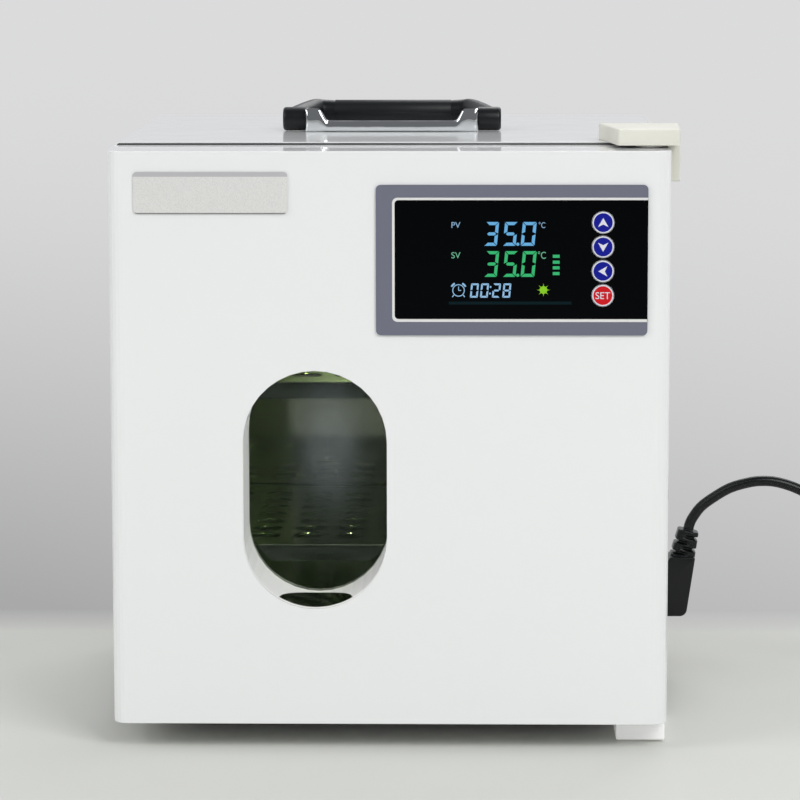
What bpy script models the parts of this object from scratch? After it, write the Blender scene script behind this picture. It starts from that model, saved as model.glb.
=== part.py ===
"""Portable incubator: a heated cabinet with a windowed door, a folding handle and a mains lead.

Sizes are metres, +Z is up, the door faces -Y. The pieces are placed from the cabinet's centre plane
(x = 0), the door's front face (y = 0) and the floor (z = 0), and one parent empty then moves them all
so that the incubator, without its lead, is centred on the origin.
"""

import math

import bmesh
import bpy
from mathutils import Matrix, Vector

# Overall sizes
WIDTH = 0.300
DOOR_HEIGHT = 0.310
DOOR_DEPTH = 0.048
DOOR_GAP = 0.004
CABINET_DEPTH = 0.250
CABINET_RISE = 0.0015
FOOT_HEIGHT = 0.014

# Sheet, walls and clearances
SHEET = 0.001
BASE_SHEET = 0.0012
SEAT = 0.0003
OVERRUN = 0.010
LIP = 0.0005

# Cabinet
TOP_BEND = 0.002
FRONT_FLANGE = 0.010
REAR_RIM = 0.006
FRAME_THICKNESS = 0.0032
BASE_FLANGE = 0.012
VENT_WIDTH = 0.0035
VENT_HEIGHT = 0.026
VENT_PITCH = 0.010
VENT_COUNT = 16
VENT_RISE = 0.010

# Chamber
SIDE_INSULATION = 0.030
TOP_INSULATION = 0.031
REAR_INSULATION = 0.0292
CHAMBER_CORNER = 0.006
BAY_HEIGHT = 0.0525
LINER_FLANGE = 0.010
DECK_DROP = 0.0118
HEATER_SIDE = 0.035
HEATER_END = 0.039
HEATER_THICKNESS = 0.0012

# Shelves and their racks
RACK_LEVELS = 6
RACK_FIRST_LEVEL = 0.0332
RACK_HEADROOM = 0.0428
RACK_INSET = 0.008
LEDGE_WIDTH = 0.007
LEDGE_THICKNESS = 0.0012
SHELF_INSET = 0.008
SHELF_REAR_GAP = 0.007
SHELF_LIP = 0.0095
SHELF_HOLE = 0.0165
SHELF_HOLE_PITCH = 0.024
LOWER_SHELF_LEVEL = 0
UPPER_SHELF_LEVEL = 3

# Probe and lamp
PROBE_RADIUS = 0.0025
PROBE_LENGTH = 0.036
PROBE_COLLAR = 0.006
PROBE_SIDE = 0.022
PROBE_DROP = 0.022
LAMP_LENGTH = 0.110
LAMP_WIDTH = 0.012
LAMP_THICKNESS = 0.003
LAMP_COUNT = 5
LAMP_RADIUS = 0.0022

# Feet
FOOT_RADIUS = 0.011
FOOT_TIP_RADIUS = 0.010
FOOT_BORE = 0.0045
FOOT_BORE_DEPTH = 0.004
FOOT_INSET = 0.022
HINGE_FOOT_INSET = 0.047

# Handle on the top
HANDLE_SETBACK = 0.100
HANDLE_SHIFT = 0.0016
HANDLE_PIVOT_RISE = 0.0068
HANDLE_BASE_WIDTH = 0.0994
HANDLE_BASE_DEPTH = 0.025
HANDLE_SHEET = 0.0012
EAR_HEIGHT = 0.0118
EAR_DEPTH = 0.021
GUSSET_WIDTH = 0.0115
BASE_RIM = 0.0028
BARREL_RADIUS = 0.0067
BARREL_LENGTH = 0.0132
BARREL_CHAMFER = 0.0023
BAR_RADIUS = 0.0061
BAR_RISE = 0.00965
BAR_REACH = 0.027
ARM_CROOK = 0.0115
GRIP_LENGTH = 0.067
GRIP_RADIUS = 0.0065
CORE_RADIUS = 0.0035
HANDLE_PIN_RADIUS = 0.0025
HANDLE_PIN_HEAD = 0.004
PIN_HEAD_HEIGHT = 0.0014

# Hinge
HINGE_INSET = 0.011
HINGE_SETBACK = 0.018
HINGE_PIN_RADIUS = 0.003
HINGE_PIN_HEAD = 0.0045
HINGE_PIN_REACH = 0.011
BUSH_WALL = 0.002
BUSH_FLANGE = 0.007
BUSH_FLANGE_THICKNESS = 0.001
HINGE_PLATE = 0.002
COVER_HEIGHT = 0.0088
COVER_WALL = 0.0015
COVER_LEAD = 0.010
COVER_TAIL = 0.026
COVER_OVERHANG = 0.0042
COVER_FLARE = 0.0018
COVER_FRONT_WIDTH = 0.032
COVER_BACK_WIDTH = 0.041
COVER_LEG = 0.0215
LOWER_COVER_LEFT = 0.027
LOWER_COVER_HEIGHT = 0.0087
LOWER_COVER_TAIL = 0.032

# Door
DOOR_CORNER = 0.0085
PANEL_THICKNESS = 0.002
PLUG_CLEARANCE = 0.003
PLUG_DEPTH = 0.009
GASKET_WIDTH = 0.011
GASKET_OFFSET = 0.006

# Window
WINDOW_SIDE = 0.1101
WINDOW_WIDTH = 0.0773
WINDOW_FOOT = 0.06335
WINDOW_HEAD = 0.11735
SPACER_WALL = 0.0027
PANE_MARGIN = 0.004
PANE_THICKNESS = 0.003

# Control panel
PANEL_SIDE = 0.0125
PANEL_WIDTH = 0.1443
PANEL_DROP = 0.098
PANEL_HEIGHT = 0.0802
PANEL_SKIN = 0.0008
LENS_LEFT_MARGIN = 0.0098
LENS_MARGIN = 0.0075
LENS_CORNER = 0.0022
PANEL_CORNER = 0.0025
KEY_SIDE = 0.0363
KEY_DROP = 0.0378
KEY_PITCH = 0.01295
KEY_RADIUS = 0.0059
KEY_CAP = 0.001
KEY_TRAVEL = 0.0005
KEY_STEM_RADIUS = 0.003
KEY_COLLAR_RADIUS = 0.0045
KEY_COLLAR = 0.0008
KEY_NAMES = ("key_up", "key_down", "key_left", "key_set")
LCD_MARGIN = 0.0368
LCD_WIDTH = 0.070
LCD_LIFT = 0.014
LCD_HEIGHT = 0.052
LCD_FRAME = 0.003
LCD_DEPTH = 0.0071
BOARD_THICKNESS = 0.0016
BOARD_INSET = 0.005
POCKET_INSET = 0.003
POCKET_DEPTH = 0.016
BADGE_SIDE = 0.0142
BADGE_WIDTH = 0.0821
BADGE_DROP = 0.0332
BADGE_HEIGHT = 0.0223
BADGE_CORNER = 0.001

# Boards
SUPPLY_WIDTH = 0.130
SUPPLY_DEPTH = 0.110
SUPPLY_LIFT = 0.007
COMPONENT_HEIGHT = 0.026
SPACER_INSET = 0.006
SPACER_RADIUS = 0.003
POST_INSET = 0.0045
POST_RADIUS = 0.0025
SWITCH_HALF = 0.003

# Power inlet with its fuse drawer and rocker
INLET_SETBACK = 0.102
INLET_RISE = 0.0333
INLET_FLANGE = 0.0012
INLET_FLANGE_HEIGHT = 0.032
INLET_FRONT = 0.0125
INLET_LENGTH = 0.0585
INLET_BODY_DEPTH = 0.027
INLET_BODY_MARGIN = 0.0023
SOCKET_WIDTH = 0.017
SOCKET_HEIGHT = 0.0246
SOCKET_DEPTH = 0.016
SOCKET_CHAMFER = 0.004
BLADE_WIDTH = 0.004
BLADE_THICKNESS = 0.002
BLADE_LENGTH = 0.014
BLADE_SPACING = 0.007
FUSE_OFFSET = 0.0165
FUSE_WIDTH = 0.009
FUSE_HEIGHT = 0.0205
FUSE_DEPTH = 0.018
FUSE_RIB = 0.0015
FUSE_WALL = 0.003
ROCKER_OFFSET = 0.033
ROCKER_WIDTH = 0.014
ROCKER_LENGTH = 0.0224
ROCKER_DEPTH = 0.010
ROCKER_TILT = math.radians(7)
ROCKER_SINK = 0.003
ROCKER_CREST = 0.0052
ROCKER_BELLY = 0.0045

# Lead: the connector's places and the cord's line are measured from the inlet's face and centre
CONNECTOR_WIDTH = 0.020
CONNECTOR_RISE = 0.014
CONNECTOR_DROP = 0.0125
CONNECTOR_REACH = 0.0195
CONNECTOR_SHOULDER = 0.006
CONNECTOR_CORNER = 0.0042
NECK_FOOT = (0.0174, 0.0227)
NECK_HEAD = (0.0210, 0.0386)
NECK_RADII = (0.0074, 0.0062)
NECK_RIBS = 3
CORD_DIAMETER = 0.0062
CORD_LINE = (
    (0.0235, 0.0457),
    (0.0282, 0.0522),
    (0.0353, 0.0577),
    (0.0450, 0.0635),
    (0.0552, 0.0667),
    (0.0637, 0.0679),
    (0.0739, 0.0671),
    (0.0871, 0.0625),
    (0.0992, 0.0545),
    (0.1102, 0.0439),
    (0.1192, 0.0307),
    (0.1267, 0.0152),
    (0.1332, -0.0013),
    (0.1394, -0.0173),
    (0.1462, -0.0308),
    (0.1542, -0.0395),
    (0.1617, -0.0432),
    (0.1680, -0.0438),
)
COIL_REACH = 0.1997
COIL_MEAN_RADIUS = 0.035
COIL_COLUMNS = 3
COIL_LAYERS = 2
PLUG_WIDTH = 0.026
PLUG_LENGTH = 0.034
PLUG_HEIGHT = 0.019
PLUG_OFFSET = 0.025
PLUG_TAIL = 0.022
PLUG_TAIL_RADII = (0.0062, 0.0042)
PIN_LENGTH = 0.018
PIN_WIDTH = 0.0064
PIN_THICKNESS = 0.0015
PIN_SPREAD = 0.0065
PIN_LIFT = 0.0045
PIN_TILT = 30

# Places that follow from the sizes
HALF = WIDTH / 2
BOTTOM = FOOT_HEIGHT
DOOR_TOP = BOTTOM + DOOR_HEIGHT
TOP = DOOR_TOP + CABINET_RISE
FRONT = DOOR_DEPTH + DOOR_GAP
BACK = FRONT + CABINET_DEPTH
INSIDE = HALF - SHEET - SEAT
FLOOR_TOP = BOTTOM + SHEET + SEAT + BASE_SHEET
FRAME_FRONT = FRONT + SHEET + SEAT
LINER_FRONT = FRAME_FRONT + FRAME_THICKNESS + SEAT
LINER_BACK = BACK - REAR_INSULATION
CHAMBER_TOP = TOP - TOP_INSULATION
CHAMBER_FLOOR = BOTTOM + BAY_HEIGHT
CHAMBER_HALF = HALF - SIDE_INSULATION
DECK_TOP = CHAMBER_FLOOR - DECK_DROP
HEATER_X = CHAMBER_HALF - HEATER_SIDE
HEATER_LOW = CHAMBER_FLOOR + HEATER_END
HEATER_HIGH = CHAMBER_TOP - HEATER_END
RACK_RISE = CHAMBER_TOP - CHAMBER_FLOOR - RACK_FIRST_LEVEL - RACK_HEADROOM
RACK_PITCH = RACK_RISE / (RACK_LEVELS - 1)
SHELF_FRONT = LINER_FRONT + SHELF_INSET
SHELF_BACK = LINER_BACK - SHEET - SHELF_REAR_GAP
HINGE_X = HALF - HINGE_INSET
HINGE_Y = DOOR_DEPTH - HINGE_SETBACK
COVER_FRONT = HINGE_Y - COVER_LEAD
COVER_BACK = FRONT + COVER_TAIL
LOWER_COVER_BACK = FRONT + LOWER_COVER_TAIL
HANDLE_Y = FRONT + HANDLE_SETBACK
HANDLE_Z = TOP + HANDLE_PIVOT_RISE
BAR_Y = HANDLE_Y + BAR_REACH
BAR_Z = TOP + BAR_RISE
EAR_X = HANDLE_BASE_WIDTH / 2
WINDOW_X = WINDOW_SIDE - HALF
WINDOW_LOW = BOTTOM + WINDOW_FOOT
WINDOW_HIGH = DOOR_TOP - WINDOW_HEAD
PANEL_RIGHT = HALF - PANEL_SIDE
PANEL_LEFT = PANEL_RIGHT - PANEL_WIDTH
PANEL_LOW = DOOR_TOP - PANEL_DROP
PANEL_HIGH = PANEL_LOW + PANEL_HEIGHT
LCD_LEFT = PANEL_LEFT + LCD_MARGIN
LCD_LOW = PANEL_LOW + LCD_LIFT
INLET_Y = BACK - INLET_SETBACK
INLET_Z = BOTTOM + INLET_RISE
OUTLET_FACE = HALF + SEAT + INLET_FLANGE
COIL_X = OUTLET_FACE + COIL_REACH
COIL_Y = INLET_Y + COIL_MEAN_RADIUS

parts = bpy.data.collections.new("portable_incubator")
helpers = bpy.data.collections.new("construction")


def clear_scene():
    for found in list(bpy.data.objects):
        bpy.data.objects.remove(found)
    for collection in (parts, helpers):
        bpy.context.scene.collection.children.link(collection)


def paint(name, colour, roughness, metallic=0.0):
    """A plain material; the colour is given as display values from 0 to 255."""
    found = bpy.data.materials.get(name)
    if found:
        return found
    material = bpy.data.materials.new(name)
    material.use_nodes = True
    shader = material.node_tree.nodes["Principled BSDF"]
    linear = [(value / 255) ** 2.2 for value in colour]
    shader.inputs["Base Color"].default_value = (*linear, 1)
    shader.inputs["Roughness"].default_value = roughness
    shader.inputs["Metallic"].default_value = metallic
    return material


def white_enamel():
    return paint("white_enamel", (230, 230, 230), 0.3)


def white_plastic():
    return paint("white_plastic", (235, 235, 232), 0.4)


def black_plastic():
    return paint("black_plastic", (38, 40, 44), 0.45)


def stainless():
    return paint("stainless", (190, 190, 188), 0.25, 1.0)


def zinc():
    return paint("zinc_plate", (170, 172, 175), 0.35, 1.0)


def board_green():
    return paint("board_green", (30, 90, 55), 0.5)


def cord_black():
    return paint("cord_black", (22, 25, 26), 0.4)


def filleted(corners, steps=4):
    """The outline of a polygon of (u, v, radius) corners, each rounded by an arc of its radius."""
    points = []
    for i, (u, v, radius) in enumerate(corners):
        here = Vector((u, v))
        if not radius:
            points.append(here)
            continue
        before = (Vector(corners[i - 1][:2]) - here).normalized()
        after = (Vector(corners[(i + 1) % len(corners)][:2]) - here).normalized()
        half = before.angle(after) / 2
        centre = here + (before + after).normalized() * radius / math.sin(half)
        start = here + before * radius / math.tan(half) - centre
        end = here + after * radius / math.tan(half) - centre
        sweep = math.copysign(math.pi - 2 * half, start.cross(end))
        for k in range(steps + 1):
            turn = Matrix.Rotation(-sweep * k / steps, 2)
            points.append(centre + start @ turn)
    return points


def rectangle(u0, u1, v0, v1, radius=0.0, steps=4):
    corners = [(u0, v0), (u1, v0), (u1, v1), (u0, v1)]
    return filleted([(*corner, radius) for corner in corners], steps)


def circle(u, v, radius, steps=16):
    turns = [2 * math.pi * k / steps for k in range(steps)]
    return [Vector((u + radius * math.cos(t), v + radius * math.sin(t))) for t in turns]


def mesh_of_curve(curve):
    """The mesh of a filled curve, with its loose caps welded to its sides."""
    carrier = bpy.data.objects.new(curve.name, curve)
    helpers.objects.link(carrier)
    graph = bpy.context.evaluated_depsgraph_get()
    mesh = bpy.data.meshes.new_from_object(carrier.evaluated_get(graph))
    bpy.data.objects.remove(carrier)
    bpy.data.curves.remove(curve)
    work = bmesh.new()
    work.from_mesh(mesh)
    bmesh.ops.remove_doubles(work, verts=work.verts, dist=1e-6)
    bmesh.ops.recalc_face_normals(work, faces=work.faces)
    work.to_mesh(mesh)
    work.free()
    return mesh


def place(name, mesh, centre, material):
    """A new object for a mesh drawn round its own centre. Without a material it is a helper."""
    made = bpy.data.objects.new(name, mesh)
    made.location = centre
    if material:
        parts.objects.link(made)
        mesh.materials.clear()
        mesh.materials.append(material)
    else:
        helpers.objects.link(made)
        made.hide_render = True
        made.display_type = "WIRE"
    return made


TO_PLANE = {
    "z": Matrix.Identity(4),
    "y": Matrix(((1, 0, 0, 0), (0, 0, -1, 0), (0, 1, 0, 0), (0, 0, 0, 1))),
    "x": Matrix(((0, 0, 1, 0), (1, 0, 0, 0), (0, 1, 0, 0), (0, 0, 0, 1))),
}


def prism(name, axis, outline, start, end, material=None, holes=()):
    """A flat outline with holes, extruded along an axis from start to end.

    Its u and v are x and y along z, x and z along y, and y and z along x.
    """
    curve = bpy.data.curves.new(name, "CURVE")
    curve.dimensions = "2D"
    curve.fill_mode = "BOTH"
    curve.extrude = (end - start) / 2
    for loop in (outline, *holes):
        spline = curve.splines.new("POLY")
        spline.points.add(len(loop) - 1)
        spline.use_cyclic_u = True
        for point, (u, v) in zip(spline.points, loop):
            point.co = (u, v, 0, 1)
    mesh = mesh_of_curve(curve)
    mesh.transform(TO_PLANE[axis])
    centre = Vector((0, 0, 0))
    centre["xyz".index(axis)] = (start + end) / 2
    return place(name, mesh, centre, material)


def box(name, low, high, material=None):
    """A block between two corners."""
    low, high = Vector(low), Vector(high)
    work = bmesh.new()
    bmesh.ops.create_cube(work, size=1.0)
    bmesh.ops.scale(work, vec=high - low, verts=work.verts)
    mesh = bpy.data.meshes.new(name)
    work.to_mesh(mesh)
    work.free()
    return place(name, mesh, (low + high) / 2, material)


def rod(name, axis, centre, radius, start, end, material=None, steps=16):
    """A round bar along an axis; centre gives its two other coordinates."""
    return prism(name, axis, circle(*centre, radius, steps), start, end, material)


def turned(name, profile, foot, direction, material=None, steps=16):
    """A profile of (radius, height) from top to bottom, turned about a line through foot."""
    mesh = bpy.data.meshes.new(name)
    mesh.from_pydata([(r, 0, h) for r, h in profile], [(k, k + 1) for k in range(len(profile) - 1)], [])
    made = place(name, mesh, foot, material)
    made.rotation_euler = Vector((0, 0, 1)).rotation_difference(Vector(direction)).to_euler()
    screw = made.modifiers.new("turn", "SCREW")
    screw.steps = steps
    screw.render_steps = steps
    screw.use_merge_vertices = True
    screw.merge_threshold = 1e-5
    screw.use_smooth_shade = True
    return made


def rounded(made, width, segments=2, angle=40):
    bevel = made.modifiers.new("edges", "BEVEL")
    bevel.width = width
    bevel.segments = segments
    bevel.limit_method = "ANGLE"
    bevel.angle_limit = math.radians(angle)
    return made


def repeated(made, count, step):
    """Copies of a helper in a row, a step apart and centred on the first one's place."""
    made.location -= Vector(step) * (count - 1) / 2
    row = made.modifiers.new("row", "ARRAY")
    row.count = count
    row.use_relative_offset = False
    row.use_constant_offset = True
    row.constant_offset_displace = step
    return made


def combined(made, other, operation):
    boolean = made.modifiers.new(other.name, "BOOLEAN")
    boolean.operation = operation
    boolean.object = other
    return made


def cut(made, *others):
    for other in others:
        combined(made, other, "DIFFERENCE")
    return made


def join(made, *others):
    for other in others:
        combined(made, other, "UNION")
    return made


def smooth_line(route, spacing):
    """Points about spacing apart on a Catmull-Rom curve through a route of points."""
    points = [Vector(p) for p in route]
    ends = [2 * points[0] - points[1], *points, 2 * points[-1] - points[-2]]
    line = []
    for a, b, c, d in zip(ends, ends[1:], ends[2:], ends[3:]):
        pieces = max(1, round((c - b).length / spacing))
        for k in range(pieces):
            t = k / pieces
            tangents = (c - a) * t + (2 * a - 5 * b + 4 * c - d) * t**2 + (3 * b - a - 3 * c + d) * t**3
            line.append(b + tangents / 2)
    return [*line, points[-1]]


def tube(name, line, radius, material=None, resolution=2):
    """A round bar along a line of points, with flat closed ends."""
    curve = bpy.data.curves.new(name, "CURVE")
    curve.dimensions = "3D"
    curve.bevel_depth = radius
    curve.bevel_resolution = resolution
    curve.use_fill_caps = True
    spline = curve.splines.new("POLY")
    spline.points.add(len(line) - 1)
    for point, place_of in zip(spline.points, line):
        point.co = (*place_of, 1)
    return place(name, mesh_of_curve(curve), (0, 0, 0), material)


def pivot(name, location):
    """An empty on a joint's axis, which carries the pieces of one moving body."""
    made = bpy.data.objects.new(name, None)
    made.location = location
    made.empty_display_size = 0.02
    parts.objects.link(made)
    return made


def carry(parent, *pieces):
    for piece in pieces:
        piece.parent = parent
        piece.location = piece.location - parent.location


# Cabinet housing


def inlet_opening(clearance, start, end):
    low = INLET_Y - INLET_FRONT + INLET_BODY_MARGIN - clearance
    high = INLET_Y - INLET_FRONT + INLET_LENGTH - INLET_BODY_MARGIN + clearance
    half = INLET_FLANGE_HEIGHT / 2 - INLET_BODY_MARGIN + clearance
    return prism("inlet_opening", "x", rectangle(low, high, INLET_Z - half, INLET_Z + half), start, end)


def cabinet_shell():
    """The wrap of enamelled sheet: both sides and the top, with flanges at the front and below."""
    outer = filleted(
        [(-HALF, BOTTOM, 0), (HALF, BOTTOM, 0), (HALF, TOP, TOP_BEND), (-HALF, TOP, TOP_BEND)]
    )
    shell = rounded(prism("cabinet_shell", "y", outer, FRONT, BACK, white_enamel()), SHEET / 2)
    side = HALF - SHEET
    bend = TOP_BEND - SHEET
    inner = filleted(
        [
            (-side, BOTTOM + SHEET, 0),
            (side, BOTTOM + SHEET, 0),
            (side, TOP - SHEET, bend),
            (-side, TOP - SHEET, bend),
        ]
    )
    lip = HALF - FRONT_FLANGE
    return cut(
        shell,
        prism("shell_inside", "y", inner, FRONT + SHEET, BACK + OVERRUN),
        box(
            "shell_mouth",
            (-lip, FRONT - OVERRUN, BOTTOM + FRONT_FLANGE),
            (lip, FRONT + OVERRUN, TOP - FRONT_FLANGE),
        ),
        box(
            "shell_bottom",
            (-lip, FRONT + FRONT_FLANGE, BOTTOM - OVERRUN),
            (lip, BACK + OVERRUN, BOTTOM + OVERRUN),
        ),
        inlet_opening(SEAT, HALF - OVERRUN, HALF + OVERRUN),
    )


def front_frame():
    """The moulded frame behind the shell's front flange, raised flush with it inside the flange."""
    mouth = rectangle(-CHAMBER_HALF, CHAMBER_HALF, CHAMBER_FLOOR, CHAMBER_TOP, CHAMBER_CORNER)
    plate = rectangle(-INSIDE, INSIDE, BOTTOM + SHEET + SEAT, TOP - SHEET - SEAT)
    face_half = HALF - FRONT_FLANGE - SEAT
    face = rectangle(-face_half, face_half, BOTTOM + FRONT_FLANGE + SEAT, TOP - FRONT_FLANGE - SEAT)
    frame = prism(
        "front_frame",
        "y",
        plate,
        FRAME_FRONT,
        FRAME_FRONT + FRAME_THICKNESS,
        white_plastic(),
        [mouth],
    )
    return join(frame, prism("frame_face", "y", face, FRONT, FRAME_FRONT + LIP, None, [mouth]))


def base_plate():
    """The floor tray of the cabinet, with turned-up flanges at the front and the sides."""
    low = BOTTOM + SHEET + SEAT
    back = BACK - SHEET - SEAT
    tray = box(
        "base_plate", (-INSIDE, LINER_FRONT, low), (INSIDE, back, FLOOR_TOP + BASE_FLANGE), zinc()
    )
    side = INSIDE - BASE_SHEET
    return cut(
        tray,
        box(
            "tray_inside",
            (-side, LINER_FRONT + BASE_SHEET, FLOOR_TOP),
            (side, BACK, FLOOR_TOP + BASE_FLANGE + OVERRUN),
        ),
        box(
            "tray_end",
            (-HALF, BACK - REAR_RIM - SEAT, FLOOR_TOP),
            (HALF, BACK, FLOOR_TOP + BASE_FLANGE + OVERRUN),
        ),
    )


def rear_panel():
    """The back: a sheet with a rim folded forward and a row of slots for the electronics bay."""
    low, high = FLOOR_TOP + SEAT, TOP - SHEET - SEAT
    outline = rectangle(-INSIDE, INSIDE, low, high)
    panel = prism("rear_panel", "y", outline, BACK - SHEET, BACK, white_enamel())
    side = INSIDE - SHEET
    hole = rectangle(-side, side, low + SHEET, high - SHEET)
    join(panel, prism("panel_rim", "y", outline, BACK - REAR_RIM, BACK - LIP, None, [hole]))
    half, foot_z = VENT_WIDTH / 2, low + VENT_RISE
    slot = rectangle(-half, half, foot_z, foot_z + VENT_HEIGHT, half * 0.98, 2)
    slots = prism("vent_slots", "y", slot, BACK - OVERRUN, BACK + OVERRUN)
    return cut(panel, repeated(slots, VENT_COUNT, (VENT_PITCH, 0, 0)))


def deck_plate():
    """The folded sheet that carries the insulation over the electronics bay."""
    side = INSIDE - BASE_SHEET - SEAT
    back = BACK - REAR_RIM - SEAT
    front = LINER_FRONT + BASE_SHEET + SEAT
    deck = box("deck_plate", (-side, front, FLOOR_TOP + SEAT), (side, back, DECK_TOP), zinc())
    notch_low = INLET_Y - INLET_FRONT - SHEET
    notch_high = notch_low + INLET_LENGTH + 2 * SHEET
    return cut(
        deck,
        box(
            "deck_inside",
            (SHEET - side, front - OVERRUN, BOTTOM),
            (side - SHEET, back + OVERRUN, DECK_TOP - SHEET),
        ),
        box(
            "deck_notch",
            (OUTLET_FACE - INLET_BODY_DEPTH - SHEET, notch_low, BOTTOM),
            (HALF, notch_high, DECK_TOP + OVERRUN),
        ),
    )


def foot(name, x, y):
    """A turned rubber foot, recessed below for its screw."""
    top = BOTTOM + SHEET
    profile = [
        (0, top),
        (FOOT_RADIUS, top),
        (FOOT_RADIUS, top - SHEET - LIP),
        (FOOT_TIP_RADIUS, SHEET),
        (FOOT_TIP_RADIUS - SHEET, 0),
        (FOOT_BORE, 0),
        (FOOT_BORE, FOOT_BORE_DEPTH),
        (0, FOOT_BORE_DEPTH),
    ]
    rubber = paint("black_rubber", (28, 28, 28), 0.8)
    return turned(name, profile, (x, y, 0), (0, 0, 1), rubber, 14)


def feet():
    front = FRONT + FOOT_INSET
    back = BACK - FOOT_INSET
    foot("foot_front_left", FOOT_INSET - HALF, front)
    foot("foot_front_right", HALF - HINGE_FOOT_INSET, front)
    foot("foot_rear_left", FOOT_INSET - HALF, back)
    foot("foot_rear_right", HALF - FOOT_INSET, back)


# Chamber


def chamber_section(grow):
    return rectangle(
        -CHAMBER_HALF - grow,
        CHAMBER_HALF + grow,
        CHAMBER_FLOOR - grow,
        CHAMBER_TOP + grow,
        CHAMBER_CORNER + grow,
    )


def probe_place():
    return PROBE_SIDE - CHAMBER_HALF, CHAMBER_TOP - PROBE_DROP


def chamber_liner():
    """The polished steel box of the chamber, with a flange behind the front frame."""
    liner = prism(
        "chamber_liner", "y", chamber_section(SHEET), LINER_FRONT, LINER_BACK, stainless()
    )
    flange = prism(
        "liner_flange", "y", chamber_section(LINER_FLANGE), LINER_FRONT, LINER_FRONT + SHEET
    )
    join(liner, flange)
    return cut(
        liner,
        prism("liner_inside", "y", chamber_section(0), LINER_FRONT - OVERRUN, LINER_BACK - SHEET),
        rod(
            "probe_hole",
            "y",
            probe_place(),
            PROBE_RADIUS + SEAT,
            LINER_BACK - OVERRUN,
            LINER_BACK + OVERRUN,
        ),
    )


def insulation_block():
    """Foam round the liner, from the frame to the rear panel and from the deck to the top."""
    low, high = DECK_TOP + SEAT, TOP - SHEET - SEAT
    front = LINER_FRONT + SHEET + SEAT
    back = BACK - REAR_RIM - SEAT
    foam = paint("foam", (225, 205, 150), 0.9)
    block = box("insulation_block", (-INSIDE, front, low), (INSIDE, back, high), foam)
    return cut(
        block,
        prism("foam_inside", "y", chamber_section(SHEET + SEAT), front - OVERRUN, LINER_BACK + SEAT),
        box(
            "heater_recess",
            (-HEATER_X - SEAT, LINER_BACK - OVERRUN, HEATER_LOW - SEAT),
            (HEATER_X + SEAT, LINER_BACK + HEATER_THICKNESS + 2 * SEAT, HEATER_HIGH + SEAT),
        ),
        rod("probe_duct", "y", probe_place(), PROBE_RADIUS + SHEET, LINER_BACK, BACK, None, 12),
        inlet_opening(SHEET, OUTLET_FACE - INLET_BODY_DEPTH - SHEET, HALF),
    )


def heater_mat():
    """The silicone heater stuck to the outside of the liner's rear wall."""
    mat = rectangle(-HEATER_X, HEATER_X, HEATER_LOW, HEATER_HIGH, CHAMBER_CORNER)
    start = LINER_BACK + SEAT
    silicone = paint("heater_silicone", (190, 80, 40), 0.6)
    return prism("heater_mat", "y", mat, start, start + HEATER_THICKNESS, silicone)


def temperature_probe():
    """A steel probe with a collar, pushed through the liner's rear wall."""
    x, z = probe_place()
    wall = LINER_BACK - SHEET
    tip = wall - PROBE_LENGTH
    profile = [
        (0, 0),
        (PROBE_RADIUS * 0.7, PROBE_RADIUS * 0.25),
        (PROBE_RADIUS, PROBE_RADIUS),
        (PROBE_RADIUS, PROBE_LENGTH - SEAT - SHEET),
        (PROBE_COLLAR, PROBE_LENGTH - SEAT - SHEET),
        (PROBE_COLLAR, PROBE_LENGTH - SEAT),
        (PROBE_RADIUS, PROBE_LENGTH - SEAT),
        (PROBE_RADIUS, PROBE_LENGTH + OVERRUN),
        (0, PROBE_LENGTH + OVERRUN),
    ]
    up = [(radius, -height) for radius, height in profile]
    return turned("temperature_probe", up, (x, tip, z), (0, -1, 0), stainless(), 12)


def chamber_lamp():
    """A strip of light-emitting diodes under the chamber's ceiling, near the door."""
    top = CHAMBER_TOP - SEAT
    front = LINER_FRONT + RACK_INSET / 2
    half = LAMP_LENGTH / 2
    strip = box(
        "chamber_lamp",
        (-half, front, top - LAMP_THICKNESS),
        (half, front + LAMP_WIDTH, top),
        paint("lamp_white", (240, 240, 225), 0.4),
    )
    for k in range(LAMP_COUNT):
        x = (k - (LAMP_COUNT - 1) / 2) * LAMP_LENGTH / LAMP_COUNT
        low = top - LAMP_THICKNESS - LAMP_RADIUS / 2
        join(strip, rod("diode", "z", (x, front + LAMP_WIDTH / 2), LAMP_RADIUS, low, top - LIP, None, 8))
    return strip


def level_height(level):
    """The top of a rack's ledge."""
    return CHAMBER_FLOOR + RACK_FIRST_LEVEL + level * RACK_PITCH


def shelf_rack(name, side):
    """A pressed ladder on a side wall of the chamber; side is -1 on the left, 1 on the right."""
    front = LINER_FRONT + RACK_INSET
    back = SHELF_BACK
    low = level_height(0) - RACK_PITCH / 2
    high = level_height(RACK_LEVELS - 1) + RACK_PITCH / 2
    outer = CHAMBER_HALF - SEAT
    start, end = sorted((side * outer, side * (outer - SHEET)))
    gaps = []
    for k in range(RACK_LEVELS - 1):
        sill = level_height(k) + RACK_PITCH * 0.25
        head = level_height(k) + RACK_PITCH * 0.75
        middle = (front + back) / 2
        gaps.append(rectangle(front + OVERRUN, middle - OVERRUN, sill, head))
        gaps.append(rectangle(middle + OVERRUN, back - OVERRUN, sill, head))
    rack = prism(name, "x", rectangle(front, back, low, high), start, end, stainless(), gaps)
    for k in range(RACK_LEVELS):
        top = level_height(k)
        near, far = sorted((side * (outer - LIP), side * (outer - LEDGE_WIDTH)))
        join(
            rack,
            box("ledge", (near, front + LIP, top - LEDGE_THICKNESS), (far, back - LIP, top)),
        )
    return rack


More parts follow.
